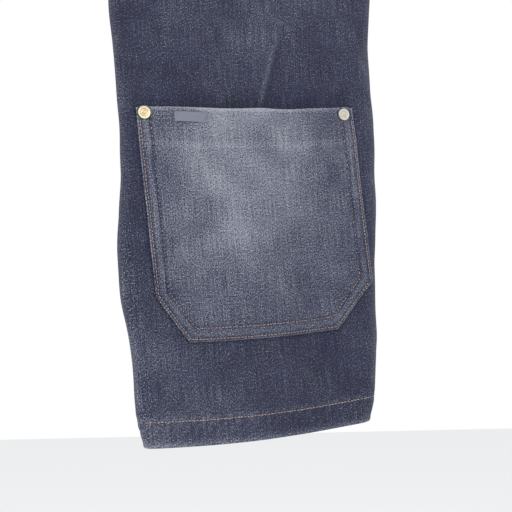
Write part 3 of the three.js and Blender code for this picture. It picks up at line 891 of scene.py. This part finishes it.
def makeBand():
    b = bandCut
    low = hang["skirt"] - 0.5 * mm
    front = [(v, b["half"]) for v in spaced(low, bandTop - b["half"], 2.4 * mm)]
    angles = np.linspace(0, math.pi, 8)[1:-1]
    fold = [(bandTop - b["half"] + b["half"] * math.sin(a), b["half"] * math.cos(a)) for a in angles]
    back = [(v, -b["half"]) for v in spaced(low, bandTop - b["half"], 2.4 * mm)[::-1]]
    vs, lifts = np.array(front + fold + back).T
    us = spaced(sideLeft - b["overhang"], sideRight + b["overhang"], b["step"])

    def place(i, j):
        u, v = us[i], vs[j]
        inEnd = np.minimum(u - us[0], us[-1] - u)
        pinch = 0.45 + 0.55 * rise(inEnd, 0, 2.5 * mm)
        seam = np.minimum(v - low, bandTop - v)
        pucker = b["pucker"] * bandPucker(u) * bump(seam, 3 * mm, 8 * mm)
        edge = 0.35 * mm * bump(v, low, 1.2 * mm)
        lift = (lifts[j] + np.sign(lifts[j]) * (pucker - edge)) * pinch
        turned = np.where(lifts[j] < 0, 2 * bandTop - v, v)
        return lay(u, v, lift), np.stack([u, turned], -1)

    piece = gridPiece("waistBand", len(us), len(vs), place, [denim, denimReverse], bandFade)
    thicken(piece, b["thick"], inside=True)
    return piece


panel, pocket, band = makePanel(), makePocket(), makeBand()
for piece, node in ((panel, "apron_panel"), (pocket, "pocket"), (band, "waistband")):
    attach(piece, "apron")
    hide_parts(node)
print("panel, pocket and waistband laid")


# Stitches: one small thread shape, repeated along each seam.
def stitchTemplate(length, thickness):
    bm = bmesh.new()
    bmesh.ops.create_uvsphere(bm, u_segments=6, v_segments=6, radius=1)
    bmesh.ops.rotate(bm, verts=bm.verts, cent=(0, 0, 0), matrix=Matrix.Rotation(math.pi / 2, 3, "Y"))
    for vert in bm.verts:
        x = vert.co.x
        ring = math.sqrt(max(1 - x * x, 0))
        # Blunter ends than a ball's.
        plump = ring**0.45 / max(ring, 1e-4) * thickness / 2 if abs(x) < 0.999 else 0
        vert.co.y *= plump
        vert.co.z = vert.co.z * plump - 0.45 * thickness * x * x
        vert.co.x = x * length / 2
    bm.verts.ensure_lookup_table()
    points = np.array([v.co[:] for v in bm.verts])
    faces = [[v.index for v in face.verts] for face in bm.faces]
    bm.free()
    return points, faces


# Stitches at points at, lying along ahead with their crowns towards out.
def sewRun(name, at, ahead, out, material, threadSet):
    template, faces = stitchTemplate(threadSet["length"], threadSet["thread"])
    xAxis = ahead / np.linalg.norm(ahead, axis=1)[:, None]
    zAxis = out - (out * xAxis).sum(1)[:, None] * xAxis
    zAxis /= np.linalg.norm(zAxis, axis=1)[:, None]
    yAxis = np.cross(zAxis, xAxis)
    points = (
        at[:, None]
        + template[None, :, 0, None] * xAxis[:, None]
        + template[None, :, 1, None] * yAxis[:, None]
        + template[None, :, 2, None] * zAxis[:, None]
    )
    count = len(template)
    allFaces = [[index + count * k for index in face] for k in range(len(at)) for face in faces]
    mesh = bpy.data.meshes.new(name)
    mesh.from_pydata(points.reshape(-1, 3).tolist(), [], allFaces)
    mesh.shade_smooth()
    piece = linkPiece(name, mesh, [material])
    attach(piece, "apron")
    return piece


# Stitches at cloth points middles along cloth directions alongs, on lift surface(u, v).
def stitchPiece(name, middles, alongs, surface, material, threadSet=seamRows, raiseBy=0.52 * mm):
    middles, alongs = np.asarray(middles), np.asarray(alongs)
    lifts = surface(middles[:, 0], middles[:, 1]) + raiseBy
    at = lay(middles[:, 0], middles[:, 1], lifts)
    ahead = lay(middles[:, 0] + alongs[:, 0] * mm, middles[:, 1] + alongs[:, 1] * mm, lifts) - at
    out = lay(middles[:, 0], middles[:, 1], lifts + 1 * mm) - at
    return sewRun(name, at, ahead, out, material, threadSet)


# Stitch middles and directions along a polyline of cloth points.
def along(points, pitch, jitter=0.06, seed=1):
    random = np.random.RandomState(seed)
    middles, directions = [], []
    for (u0, v0), (u1, v1) in zip(points[:-1], points[1:]):
        length = math.hypot(u1 - u0, v1 - v0)
        count = max(1, int(round(length / pitch)))
        direction = ((u1 - u0) / length, (v1 - v0) / length)
        for k in range(count):
            s = (k + 0.5) / count
            slip = random.uniform(-jitter, jitter) * pitch * 0.5
            u = u0 + (u1 - u0) * s - direction[1] * slip
            v = v0 + (v1 - v0) * s + direction[0] * slip
            middles.append((u, v))
            directions.append(direction)
    return middles, directions


# Seam line lying d inside the pocket's outline, from the left rivet round to the right.
def pocketRow(d, startLeft, startRight):
    p = pocketCut
    slope = math.hypot(p["cornerWide"], p["cornerHigh"])
    side = p["half"] - d
    floor = p["bottom"] + d
    shift = d * slope
    highV = p["bottom"] + p["cornerHigh"] + (shift - d * p["cornerHigh"]) / p["cornerWide"]
    wideU = p["half"] - p["cornerWide"] - (shift - d * p["cornerWide"]) / p["cornerHigh"]
    off = p["floorShift"] * (1 - d / p["cornerHigh"])
    leftHalf = [(-side, startLeft), (-side, highV), (off - wideU, floor)]
    rightHalf = [(off + wideU, floor), (side, highV), (side, startRight)]
    return leftHalf + rightHalf


def flat(u, v):
    return np.zeros_like(u)


def bandLift(u, v):
    return np.full_like(u, bandCut["half"])


straightSeams = {
    "facing": pocketCut["top"] - pocketCut["facing"] + pocketRelief["facingSeam"],
    "hem": wrinkle["hem"] - 1.6 * mm,
    "fromSide": 9 * mm,
    "bandLow": hang["skirt"] + 2.2 * mm,
    "bandHigh": bandTop - 3.4 * mm,
}


def sewStraight(name, start, end, surface, thread, seed):
    return stitchPiece(name, *along([start, end], seamRows["pitch"], seed=seed), surface, thread)


underRivet = rivets["left"]["v"] - 5.4 * mm
for label, rowTop, seed in (("Outer", underRivet, 3), ("Inner", pocketCut["top"] - 1.8 * mm, 4)):
    row = pocketRow(seamRows[label.lower()], rowTop, rowTop)
    run = along(row, seamRows["pitch"], seed=seed)
    stitchPiece("pocketSeam" + label, *run, pocketSurface, goldThread)
facingEnd, v = pocketCut["half"] - 1.0 * mm, straightSeams["facing"]
ends = (-facingEnd, v), (facingEnd, v)
sewStraight("facingSeam", *ends, pocketSurface, facingThread, 5)
v = straightSeams["hem"]
ends = (sideLeft + 2 * mm, v), (sideRight - 2 * mm, v)
sewStraight("hemSeam", *ends, flat, goldThread, 6)
fromSide = straightSeams["fromSide"]
for side, u in (("Left", sideLeft + fromSide), ("Right", sideRight - fromSide)):
    ends = (u, 1.5 * mm), (u, hang["skirt"] - 1 * mm)
    sewStraight("sideSeam" + side, *ends, flat, goldThread, 8)
for label in ("Low", "High"):
    v = straightSeams["band" + label]
    ends = (sideLeft + 1 * mm, v), (sideRight - 1 * mm, v)
    sewStraight("bandSeam" + label, *ends, bandLift, goldThread, 9)


# Straps are swept through stations on a centripetal curve, and gathered where they are squeezed.
def smoothPath(stations, steps):
    points = np.array([s["at"] for s in stations], float)
    first = 2 * points[0] - points[1]
    last = 2 * points[-1] - points[-2]
    padded = np.vstack([first, points, last])
    rows = []
    for k in range(len(points) - 1):
        p0, p1, p2, p3 = padded[k:k + 4]
        t = [max(np.linalg.norm(b - a) ** 0.5, 1e-5) for a, b in ((p0, p1), (p1, p2), (p2, p3))]
        m1 = ((p1 - p0) / t[0] - (p2 - p0) / (t[0] + t[1]) + (p2 - p1) / t[1]) * t[1]
        m2 = ((p2 - p1) / t[1] - (p3 - p1) / (t[1] + t[2]) + (p3 - p2) / t[2]) * t[1]
        a, b = stations[k], stations[k + 1]
        for step in range(steps + (k == len(points) - 2)):
            s = step / steps
            at = (2 * s**3 - 3 * s**2 + 1) * p1 + (s**3 - 2 * s**2 + s) * m1
            at = at + (-2 * s**3 + 3 * s**2) * p2 + (s**3 - s**2) * m2
            run = (6 * s**2 - 6 * s) * p1 + (3 * s**2 - 4 * s + 1) * m1
            run = run + (-6 * s**2 + 6 * s) * p2 + (3 * s**2 - 2 * s) * m2
            across = (1 - s) * np.array(a["across"], float) + s * np.array(b["across"], float)
            run /= np.linalg.norm(run)
            across -= across.dot(run) * run
            across /= np.linalg.norm(across)
            width = (1 - s) * a["width"] + s * b["width"]
            rows.append((at, across, np.cross(across, run), width))
    return rows


strapLook = {
    "acrossPoints": 16,  # on each face
    "pleat": 1.5 * mm,
    "soft": 0.25 * mm,
    "softLength": 38 * mm,
    "edgeWear": 0.22,
}


def softness(places, share):  # slow waves along a strap
    return strapLook["soft"] * np.sin(places * 2 * math.pi / strapLook["softLength"] + share * 2)


def pleatAt(squeeze, share):  # folds across a strap where it is gathered
    return strapLook["pleat"] * squeeze * np.sin(share * math.pi * 2.4 + 0.4) * (1 - 0.35 * share**2)


def strapPiece(name, stations, flatWidth, thick, materials, steps=8, body="apron"):
    rows = smoothPath(stations, steps)
    centres = np.array([r[0] for r in rows])
    lengths = np.concatenate([[0], np.cumsum(np.linalg.norm(np.diff(centres, axis=0), axis=1))])
    half = strapLook["acrossPoints"]
    s = np.concatenate([np.linspace(-1, 1, half), np.linspace(1, -1, half), [-1]])
    side = np.concatenate([np.ones(half), -np.ones(half), [1]])
    roundOff = np.sqrt(np.clip(1 - np.abs(s) ** 14, 0.03, 1))
    across = np.array([r[1] for r in rows])
    out = np.array([r[2] for r in rows])
    width = np.array([r[3] for r in rows])
    backCloth = 40 * mm  # the back face is patterned this far along the cloth

    def place(i, j):
        squeeze = np.clip(1 - width[j] / flatWidth, 0, 1)
        lift = side[i] * thick / 2 * roundOff[i] + pleatAt(squeeze, s[i])
        lift = lift + softness(lengths[j], s[i]) * (1 - squeeze)
        points = centres[j] + across[j] * (s[i] * width[j] / 2)[:, None] + out[j] * lift[:, None]
        cloth = np.stack([s[i] * flatWidth / 2 + (side[i] < 0) * backCloth, lengths[j]], -1)
        return points, cloth

    def wearAndShade(u, v):
        fromMiddle = np.abs(np.where(u > backCloth / 2, u - backCloth, u))
        return strapLook["edgeWear"] * bump(fromMiddle, flatWidth / 2, 1.4 * mm) - 0.02

    piece = gridPiece(name, len(s), len(rows), place, materials, wearAndShade, wrap=True)
    if body:
        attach(piece, body)

    def alongStrap(places, table):
        return np.array([np.interp(places, lengths, column) for column in table.T]).T

    # Points, directions and outward ways along the strap, at a share of its half width.
    def edgeRun(share, face, start, end, pitch):
        places = np.arange(start, min(end, lengths[-1]) - pitch / 2, pitch) + pitch / 2
        fine, wide, way = (alongStrap(places, table) for table in (centres, across, out))
        breadth = np.interp(places, lengths, width)
        squeeze = np.clip(1 - breadth / flatWidth, 0, 1)
        lift = face * (thick / 2 + 0.05 * mm) + pleatAt(squeeze, share)
        lift = lift + softness(places, share) * (1 - squeeze)
        at = fine + wide * (share * breadth / 2)[:, None] + way * lift[:, None]
        return at, np.gradient(fine, axis=0), way * face

    return piece, lengths, edgeRun


loopCut = {
    "width": 10 * mm,
    "thick": 1.5 * mm,
    "inner": 5.9 * mm,
    "sewn": 22 * mm,
    "spread": 6 * mm,
    "bendBelow": 1 * mm,  # it bends between these depths under the crown
    "bendTo": 16 * mm,
}
armRadius = 4.5 * mm
armZ = -hang["armDrop"]
behindBand = 1.5 * mm + 0.3 * mm + 0.8 * mm  # middle of a strap sewn behind the band
crownLow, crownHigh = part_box("hanging_loop_crown")
loopY = (crownLow[1] + crownHigh[1]) / 2
loopZ = crownHigh[2] - loopCut["inner"] - 1.6 * mm


def overArm(y, z, radius, size, start, end, spans):
    angles = np.linspace(start, end, spans + 1)
    facing = (0, 1.0 if end > start else -1.0, 0)
    places = [(radius * math.cos(a), y, z + radius * math.sin(a)) for a in angles]
    return [{"at": at, "across": facing, **size} for at in places]


def makeLoop():
    size = {"width": loopCut["width"]}
    radius = loopCut["inner"] + 0.8 * mm
    sewnY = frontY + behindBand
    drop = hang["loopDrop"]
    low = armZ - drop

    def leg(side):
        x = side * radius
        edge, flatWay = (0, -1, 0), (side, 0, 0)
        sewnX = side * loopCut["spread"]
        return [
            {"at": (x * 1.02, loopY, armZ - drop * 0.28), "across": edge, **size},
            {"at": (x * 1.1, loopY, armZ - drop * 0.52), "across": edge, **size},
            {"at": (x * 1.05, (loopY + sewnY) / 2, armZ - drop * 0.75), "across": (side, -1, 0), **size},
            {"at": (sewnX, sewnY, low + 1 * mm), "across": flatWay, **size},
            {"at": (sewnX, sewnY, low - loopCut["sewn"] / 2), "across": flatWay, **size},
            {"at": (sewnX, sewnY, low - loopCut["sewn"]), "across": flatWay, **size},
        ]

    stations = leg(-1)[::-1] + overArm(loopY, loopZ, radius, size, math.pi, 0, 8) + leg(1)
    return strapPiece("hangingLoop", stations, loopCut["width"], loopCut["thick"], [loopTape], body=None)


loopPiece, loopLengths, _ = makeLoop()
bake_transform(loopPiece)
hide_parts("hanging_loop_crown", "hanging_loop_left_leg", "hanging_loop_right_leg")
print("hanging loop length mm", round(loopLengths[-1] * 1000))


tieCut = {
    "width": 25 * mm,
    "thick": 1.4 * mm,
    "length": 460 * mm,
    "sewn": 14 * mm,
    "armWidth": 10 * mm,
    "slack": 0.8 * mm,
    "stitchPitch": 2.9 * mm,
}


def makeTie(side, u, armY, turnY, tailY, name):
    t = tieCut
    sign = 1 if u < 0 else -1
    middle = hang["skirt"] + hang["bandHeight"] / 2
    inner = lay(u + sign * t["sewn"], middle, behindBand)
    end = lay(u - sign * 4 * mm, middle, behindBand)
    upright, level, slant, flatWay = (0, 0, side), (0, 1, 0), (-side, 1, 0), (-side, 0, 0)
    full, onArm = {"width": t["width"]}, {"width": t["armWidth"]}
    radius = armRadius + t["slack"] + 1.5 * mm
    top = overArm(armY, armZ, radius, onArm, 0 if side > 0 else math.pi, math.pi if side > 0 else 0, 6)
    top = [{**s, "across": level} for s in top]
    first, last = top[0]["at"], top[-1]["at"]
    turn = {"width": 11 * mm}
    halfWayX = (end[0] + first[0]) / 2

    def up(share):
        return end[2] + (first[2] - end[2]) * share

    stations = [
        {"at": inner, "across": upright, **full},
        {"at": end, "across": upright, **full},
        {"at": (end[0] + side * 9 * mm, turnY, up(0.02)), "across": (0, 0.8, side), "width": 15 * mm},
        {"at": (end[0] + side * 15 * mm, turnY, up(0.16)), "across": level, **turn},
        {"at": (end[0] + side * 13 * mm, turnY, up(0.38)), "across": level, **turn},
        {"at": (halfWayX + side * 4 * mm, (turnY + armY) / 2, up(0.66)), "across": level, **turn},
        {"at": (first[0] + side * 1.2 * mm, armY, up(0.88)), "across": level, **onArm},
        *top,
        {"at": (last[0] - side * 1 * mm, armY, armZ - 10 * mm), "across": level, **onArm},
        {"at": (last[0] - side * 4 * mm, (armY + tailY) / 2, armZ - 24 * mm), "across": slant, **onArm},
        {"at": (last[0] - side * 8 * mm, tailY, armZ - 40 * mm), "across": flatWay, "width": 12 * mm},
        {"at": (last[0] - side * 12 * mm, tailY, armZ - 62 * mm), "across": flatWay, "width": 19 * mm},
        {"at": (last[0] - side * 14 * mm, tailY, armZ - 84 * mm), "across": flatWay, **full},
    ]
    used = np.array([r[0] for r in smoothPath(stations, 8)])
    tail = t["length"] - np.linalg.norm(np.diff(used, axis=0), axis=1).sum()
    for share in (0.2, 0.4, 0.6, 0.8, 1.0):
        at = (last[0] - side * 14 * mm, tailY, armZ - 84 * mm - tail * share)
        stations.append({"at": at, "across": flatWay, **full})
    return strapPiece(name, stations, t["width"], t["thick"], [denim])


tack = {
    "width": 8 * mm,
    "rows": 5,
    "gap": 0.55 * mm,
    "pitch": 1.6 * mm,
    "length": 1.9 * mm,
    "thread": 0.42 * mm,
    "High": 7 * mm,  # from the band's top
    "Low": 19 * mm,
}
tieBox = {"inner": 12.5 * mm, "outer": 1.5 * mm, "low": 9.5 * mm, "high": 30.5 * mm, "pitch": 2.4 * mm}


def barTack(name, u, v, surface, material):  # dense short bar of stitches across the cloth
    middles, alongs = [], []
    for row in range(tack["rows"]):
        shift = (row - (tack["rows"] - 1) / 2) * tack["gap"]
        ends = [(u - tack["width"] / 2, v + shift), (u + tack["width"] / 2, v + shift)]
        m, d = along(ends, tack["pitch"], 0.3, seed=row)
        middles += m
        alongs += d
    stitchPiece(name, middles, alongs, surface, material, tack)


def rootLift(u, v):  # on the outer face of a tie's sewn end
    return np.full_like(u, bandCut["half"] + 0.3 * mm + 1.6 * mm)


for label, side in (("Left", -1), ("Right", 1)):
    u = hang["offCentre"] + side * loopCut["spread"]
    for place in ("High", "Low"):
        barTack("loopTack" + label + place, u, bandTop - tack[place], bandLift, goldThread)
    root = sideLeft if side < 0 else sideRight
    inner, outer = root - side * tieBox["inner"], root - side * tieBox["outer"]
    low, high = hang["skirt"] + tieBox["low"], hang["skirt"] + tieBox["high"]
    box = [(inner, low), (outer, low), (outer, high), (inner, high), (inner, low), (outer, high)]
    run = along(box, tieBox["pitch"], seed=15)
    stitchPiece("tieBox" + label, *run, rootLift, goldThread, raiseBy=0.45 * mm)

leftFlapY = frontY + 2 * hang["leftRadius"]
rightFlapY = frontY + 2 * hang["rightRadius"]
tailY = (leftFlapY + rightFlapY) / 2 + 1.5 * mm
for key, side, u, armY, turnY in (
    ("left", 1, sideLeft, leftFlapY, leftFlapY),
    ("right", -1, sideRight, rightFlapY, rightFlapY + 3.5 * mm),
):
    piece, lengths, edgeRun = makeTie(side, u, armY, turnY, tailY, key + "Tie")
    for face, label in ((1, "Outer"), (-1, "Inner")):
        for share, edge in ((-0.86, "A"), (0.86, "B")):
            run = edgeRun(share, face, tieCut["sewn"] + 4 * mm, lengths[-1] - 2 * mm, tieCut["stitchPitch"])
            sewRun(key + "TieSeam" + label + edge, *run, goldThread, seamRows)
    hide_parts("tie_" + key)
    print(key, "tie length mm", round(lengths[-1] * 1000))


# Hardware turned about a line along y through centre. profile is (radius, height towards the room).
def spinPiece(name, profile, centre, materials, steps=48, wearAndShade=None):
    bm = bmesh.new()
    wearAndShadeLayer = bm.verts.layers.float.new("wearAndShade")
    verts = [bm.verts.new((radius, -height, 0)) for radius, height in profile]
    for vert, (radius, height) in zip(verts, profile):
        vert[wearAndShadeLayer] = wearAndShade(radius, height) if wearAndShade else 0
    edges = [bm.edges.new(pair) for pair in zip(verts[:-1], verts[1:])]
    axis = {"cent": (0, 0, 0), "axis": (0, 1, 0), "angle": 2 * math.pi}
    bmesh.ops.spin(bm, geom=verts + edges, steps=steps, use_merge=True, **axis)
    bmesh.ops.remove_doubles(bm, verts=bm.verts, dist=1e-6)
    bmesh.ops.recalc_face_normals(bm, faces=bm.faces)
    bmesh.ops.translate(bm, verts=bm.verts, vec=centre)
    mesh = bpy.data.meshes.new(name)
    bm.to_mesh(mesh)
    bm.free()
    mesh.shade_smooth()
    return linkPiece(name, mesh, materials)


def roundCorner(a, b, c, radius, steps=4):  # points easing from edge a-b to edge b-c
    a, b, c = (np.array(p, float) for p in (a, b, c))
    start = b + (a - b) / np.linalg.norm(a - b) * radius
    end = b + (c - b) / np.linalg.norm(c - b) * radius
    ts = np.linspace(0, 1, steps + 1)
    return [tuple((1 - t) ** 2 * start + 2 * t * (1 - t) * b + t**2 * end) for t in ts]


def makeRivet(key):
    spot = rivets[key]
    base = lay(spot["u"], spot["v"], 0)
    seat = pocketSurface(np.array([spot["u"]]), np.array([spot["v"]]))[0] + 0.55 * mm
    r, post, groove = rivets["radius"], rivets["post"], spot["groove"]
    top = seat + rivets["capHigh"]
    low = top - groove
    profile = [(0, -rivets["postBehind"]), (post, -rivets["postBehind"]), (post, seat), (r - 0.3 * mm, seat)]
    # Rolled rim, then the ring's groove.
    profile += roundCorner((r - 0.3 * mm, seat), (r, seat), (r, seat + 0.5 * mm), 0.25 * mm)
    profile += roundCorner((r, seat + 0.4 * mm), (r - 0.1 * mm, top), (r - 2 * mm, top), 0.8 * mm, 6)
    profile += roundCorner((r - 1.3 * mm, top), (3.15 * mm, top), (2.95 * mm, low), 0.12 * mm)
    profile += roundCorner((2.95 * mm, top - groove * 0.6), (2.8 * mm, low), (2.2 * mm, low), 0.1 * mm)
    # Dished middle and its nipple.
    profile += [(2.45 * mm, low), (2.2 * mm, top - groove * 0.25), (1.7 * mm, top - groove * 0.12)]
    profile += [(1.35 * mm, top - groove * 0.5), (1.05 * mm, top - 0.1 * mm), (0.9 * mm, top + 0.45 * mm)]
    profile += [(0.6 * mm, top + 0.72 * mm), (0.25 * mm, top + 0.8 * mm), (0, top + 0.8 * mm)]
    depth = groove / (0.32 * mm)

    # darker in the groove ring, round the nipple and at the outer rim, more where the groove is deeper
    def darkerInHollows(radius, height):
        ring = 0.55 * math.exp(-(((radius - 2.75 * mm) / (0.22 * mm)) ** 2))
        core = 0.45 * math.exp(-(((radius - 1.35 * mm) / (0.25 * mm)) ** 2))
        return depth * (ring + core) + 0.4 * (radius > r - 0.12 * mm)

    cap = spinPiece(key + "RivetCap", profile, tuple(base), [paleBrass[key]], wearAndShade=darkerInHollows)
    edge, hole, near = rivets["burr"], rivets["burrHole"], -rivets["burrBack"]
    far = near - rivets["burrThick"]
    ring = [(hole, far), *roundCorner((hole + 0.1 * mm, far), (edge, far), (edge, near), 0.5 * mm)]
    ring += [(edge, near), (hole, near), (hole, far)]
    burr = spinPiece(key + "RivetBurr", ring, tuple(base), [paleBrass[key]])
    for piece, node in ((cap, "rivet_cap_"), (burr, "rivet_burr_")):
        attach(piece, "apron")
        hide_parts(node + key)


for key in ("left", "right"):
    makeRivet(key)


labelCut = {
    "fromSide": 27 * mm,
    "belowMouth": 3.4 * mm,
    "wide": 25 * mm,
    "high": 7.2 * mm,
    "gap": 0.45 * mm,
    "thick": 0.32 * mm,
    "curl": 0.35 * mm,
    "overCloth": 0.95 * mm,
}
labelThread = {"pitch": 1.7 * mm, "length": 1.4 * mm, "thread": 0.35 * mm}


def labelLift(u, v):
    return pocketSurface(u, v) + labelCut["overCloth"] + labelCut["gap"]


def makeLabel():
    wide, high, gap = labelCut["wide"], labelCut["high"], labelCut["gap"]
    left = -pocketCut["half"] + labelCut["fromSide"]
    top = pocketCut["top"] - labelCut["belowMouth"]
    back = [(top - high + v, lift) for v, lift in turnedEdge(0, high - 0.5 * mm, 1, gap, 0.8 * mm)]
    front = [(v, 0.0) for v in spaced(top - high + 0.7 * gap, top, 0.6 * mm)]
    vs, lifts = np.array(back + front).T
    us = spaced(left, left + wide, 0.9 * mm)

    def place(i, j):
        u, v = us[i], vs[j]
        wave = np.sin((u - left) / wide * math.pi * 1.3 + 0.6)
        curl = labelCut["curl"] * bump(v, top - high, 3 * mm) * wave
        return lay(u, v, labelLift(u, v) + lifts[j] + curl), np.stack([u, v], -1)

    piece = gridPiece("mouthLabel", len(us), len(vs), place, [labelWeave])
    thicken(piece, labelCut["thick"])
    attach(piece, "apron")
    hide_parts("pocket_label")
    middles, directions = [], []
    for u in (left + 1.6 * mm, left + wide - 1.6 * mm):
        m, d = along([(u, top - high + 1.2 * mm), (u, top - 0.8 * mm)], labelThread["pitch"], seed=12)
        middles += m
        directions += d
    run = (middles, directions, labelLift, tonalThread, labelThread)
    stitchPiece("labelStitches", *run, raiseBy=0.22 * mm)


makeLabel()


# Copy of a cut metal part with its edges eased.
def refine(node, name, materials, bevel, angle=28):
    low = frame["nodes"][node]
    mesh = low.data.copy()
    mesh.name = name
    mesh.materials.clear()
    bm = bmesh.new()
    bm.from_mesh(mesh)
    bmesh.ops.remove_doubles(bm, verts=bm.verts, dist=1e-6)
    bmesh.ops.dissolve_limit(bm, angle_limit=math.radians(1.5), verts=bm.verts, edges=bm.edges)
    for face in bm.faces:
        face.smooth = True
    bm.to_mesh(mesh)
    bm.free()
    mesh.set_sharp_from_angle(angle=math.radians(angle))
    piece = linkPiece(name, mesh, materials)
    if bevel:
        edge = piece.modifiers.new("easedEdges", "BEVEL")
        edge.width = bevel
        edge.segments = 3
        edge.limit_method = "ANGLE"
        edge.angle_limit = math.radians(40)
        edge.harden_normals = False
    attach(piece, "hook")
    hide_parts(node)
    return piece


plate = refine("hook_plate", "wallPlate", [satinSteel], 0.5 * mm)
armPiece = refine("hook_arm", "hookArm", [satinSteel], 0.0)
for where in ("top", "bottom"):
    refine(f"screw_{where}", where + "Screw", [zincSteel], 0.0)
print("hardware made")
# Pale studio.
studio = {
    "floorDrop": 0.34,
    "floorHalf": 6.0,
    "floorColour": (0.82, 0.83, 0.84, 1),
    "world": (1.0, 1.0, 1.0, 1),
    "worldStrength": 1.0,
    "lights": (  # name, place from the apron's middle, size, watts
        ("keyLight", (-1.3, -1.5, 1.1), 1.0, 26),
        ("fillLight", (1.5, -1.4, 0.2), 1.6, 9),
        ("backLight", (0.6, 1.6, 0.9), 1.2, 14),
    ),
}


def makeStudio():
    bm = bmesh.new()
    bmesh.ops.create_grid(bm, x_segments=1, y_segments=1, size=studio["floorHalf"])
    bmesh.ops.translate(bm, verts=bm.verts, vec=(0, 0, cadBox[0][2] - studio["floorDrop"]))
    mesh = bpy.data.meshes.new("floor")
    bm.to_mesh(mesh)
    bm.free()
    material, tree, shader = newMaterial("paleFloor")
    shader.inputs["Base Color"].default_value = studio["floorColour"]
    shader.inputs["Roughness"].default_value = 0.9
    floor = linkPiece("floor", mesh, [material])
    floor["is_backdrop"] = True
    world = bpy.data.worlds.new("studio")
    world.use_nodes = True
    world.node_tree.nodes["Background"].inputs[0].default_value = studio["world"]
    world.node_tree.nodes["Background"].inputs[1].default_value = studio["worldStrength"]
    bpy.context.scene.world = world
    bpy.context.scene.view_settings.view_transform = "Standard"
    middle = Vector(((cadBox[0][0] + cadBox[1][0]) / 2, frontY, (cadBox[0][2] + cadBox[1][2]) / 2))
    for name, offset, size, power in studio["lights"]:
        data = bpy.data.lights.new(name, "AREA")
        data.size = size
        data.energy = power
        lamp = bpy.data.objects.new(name, data)
        lamp.location = middle + Vector(offset)
        lamp.rotation_euler = Vector(offset).to_track_quat("Z", "Y").to_euler()
        bpy.context.scene.collection.objects.link(lamp)


makeStudio()
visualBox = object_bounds()
boxes = {"cad": cadBox, "visual": visualBox}
{key: [list(map(float, point)) for point in box] for key, box in boxes.items()}
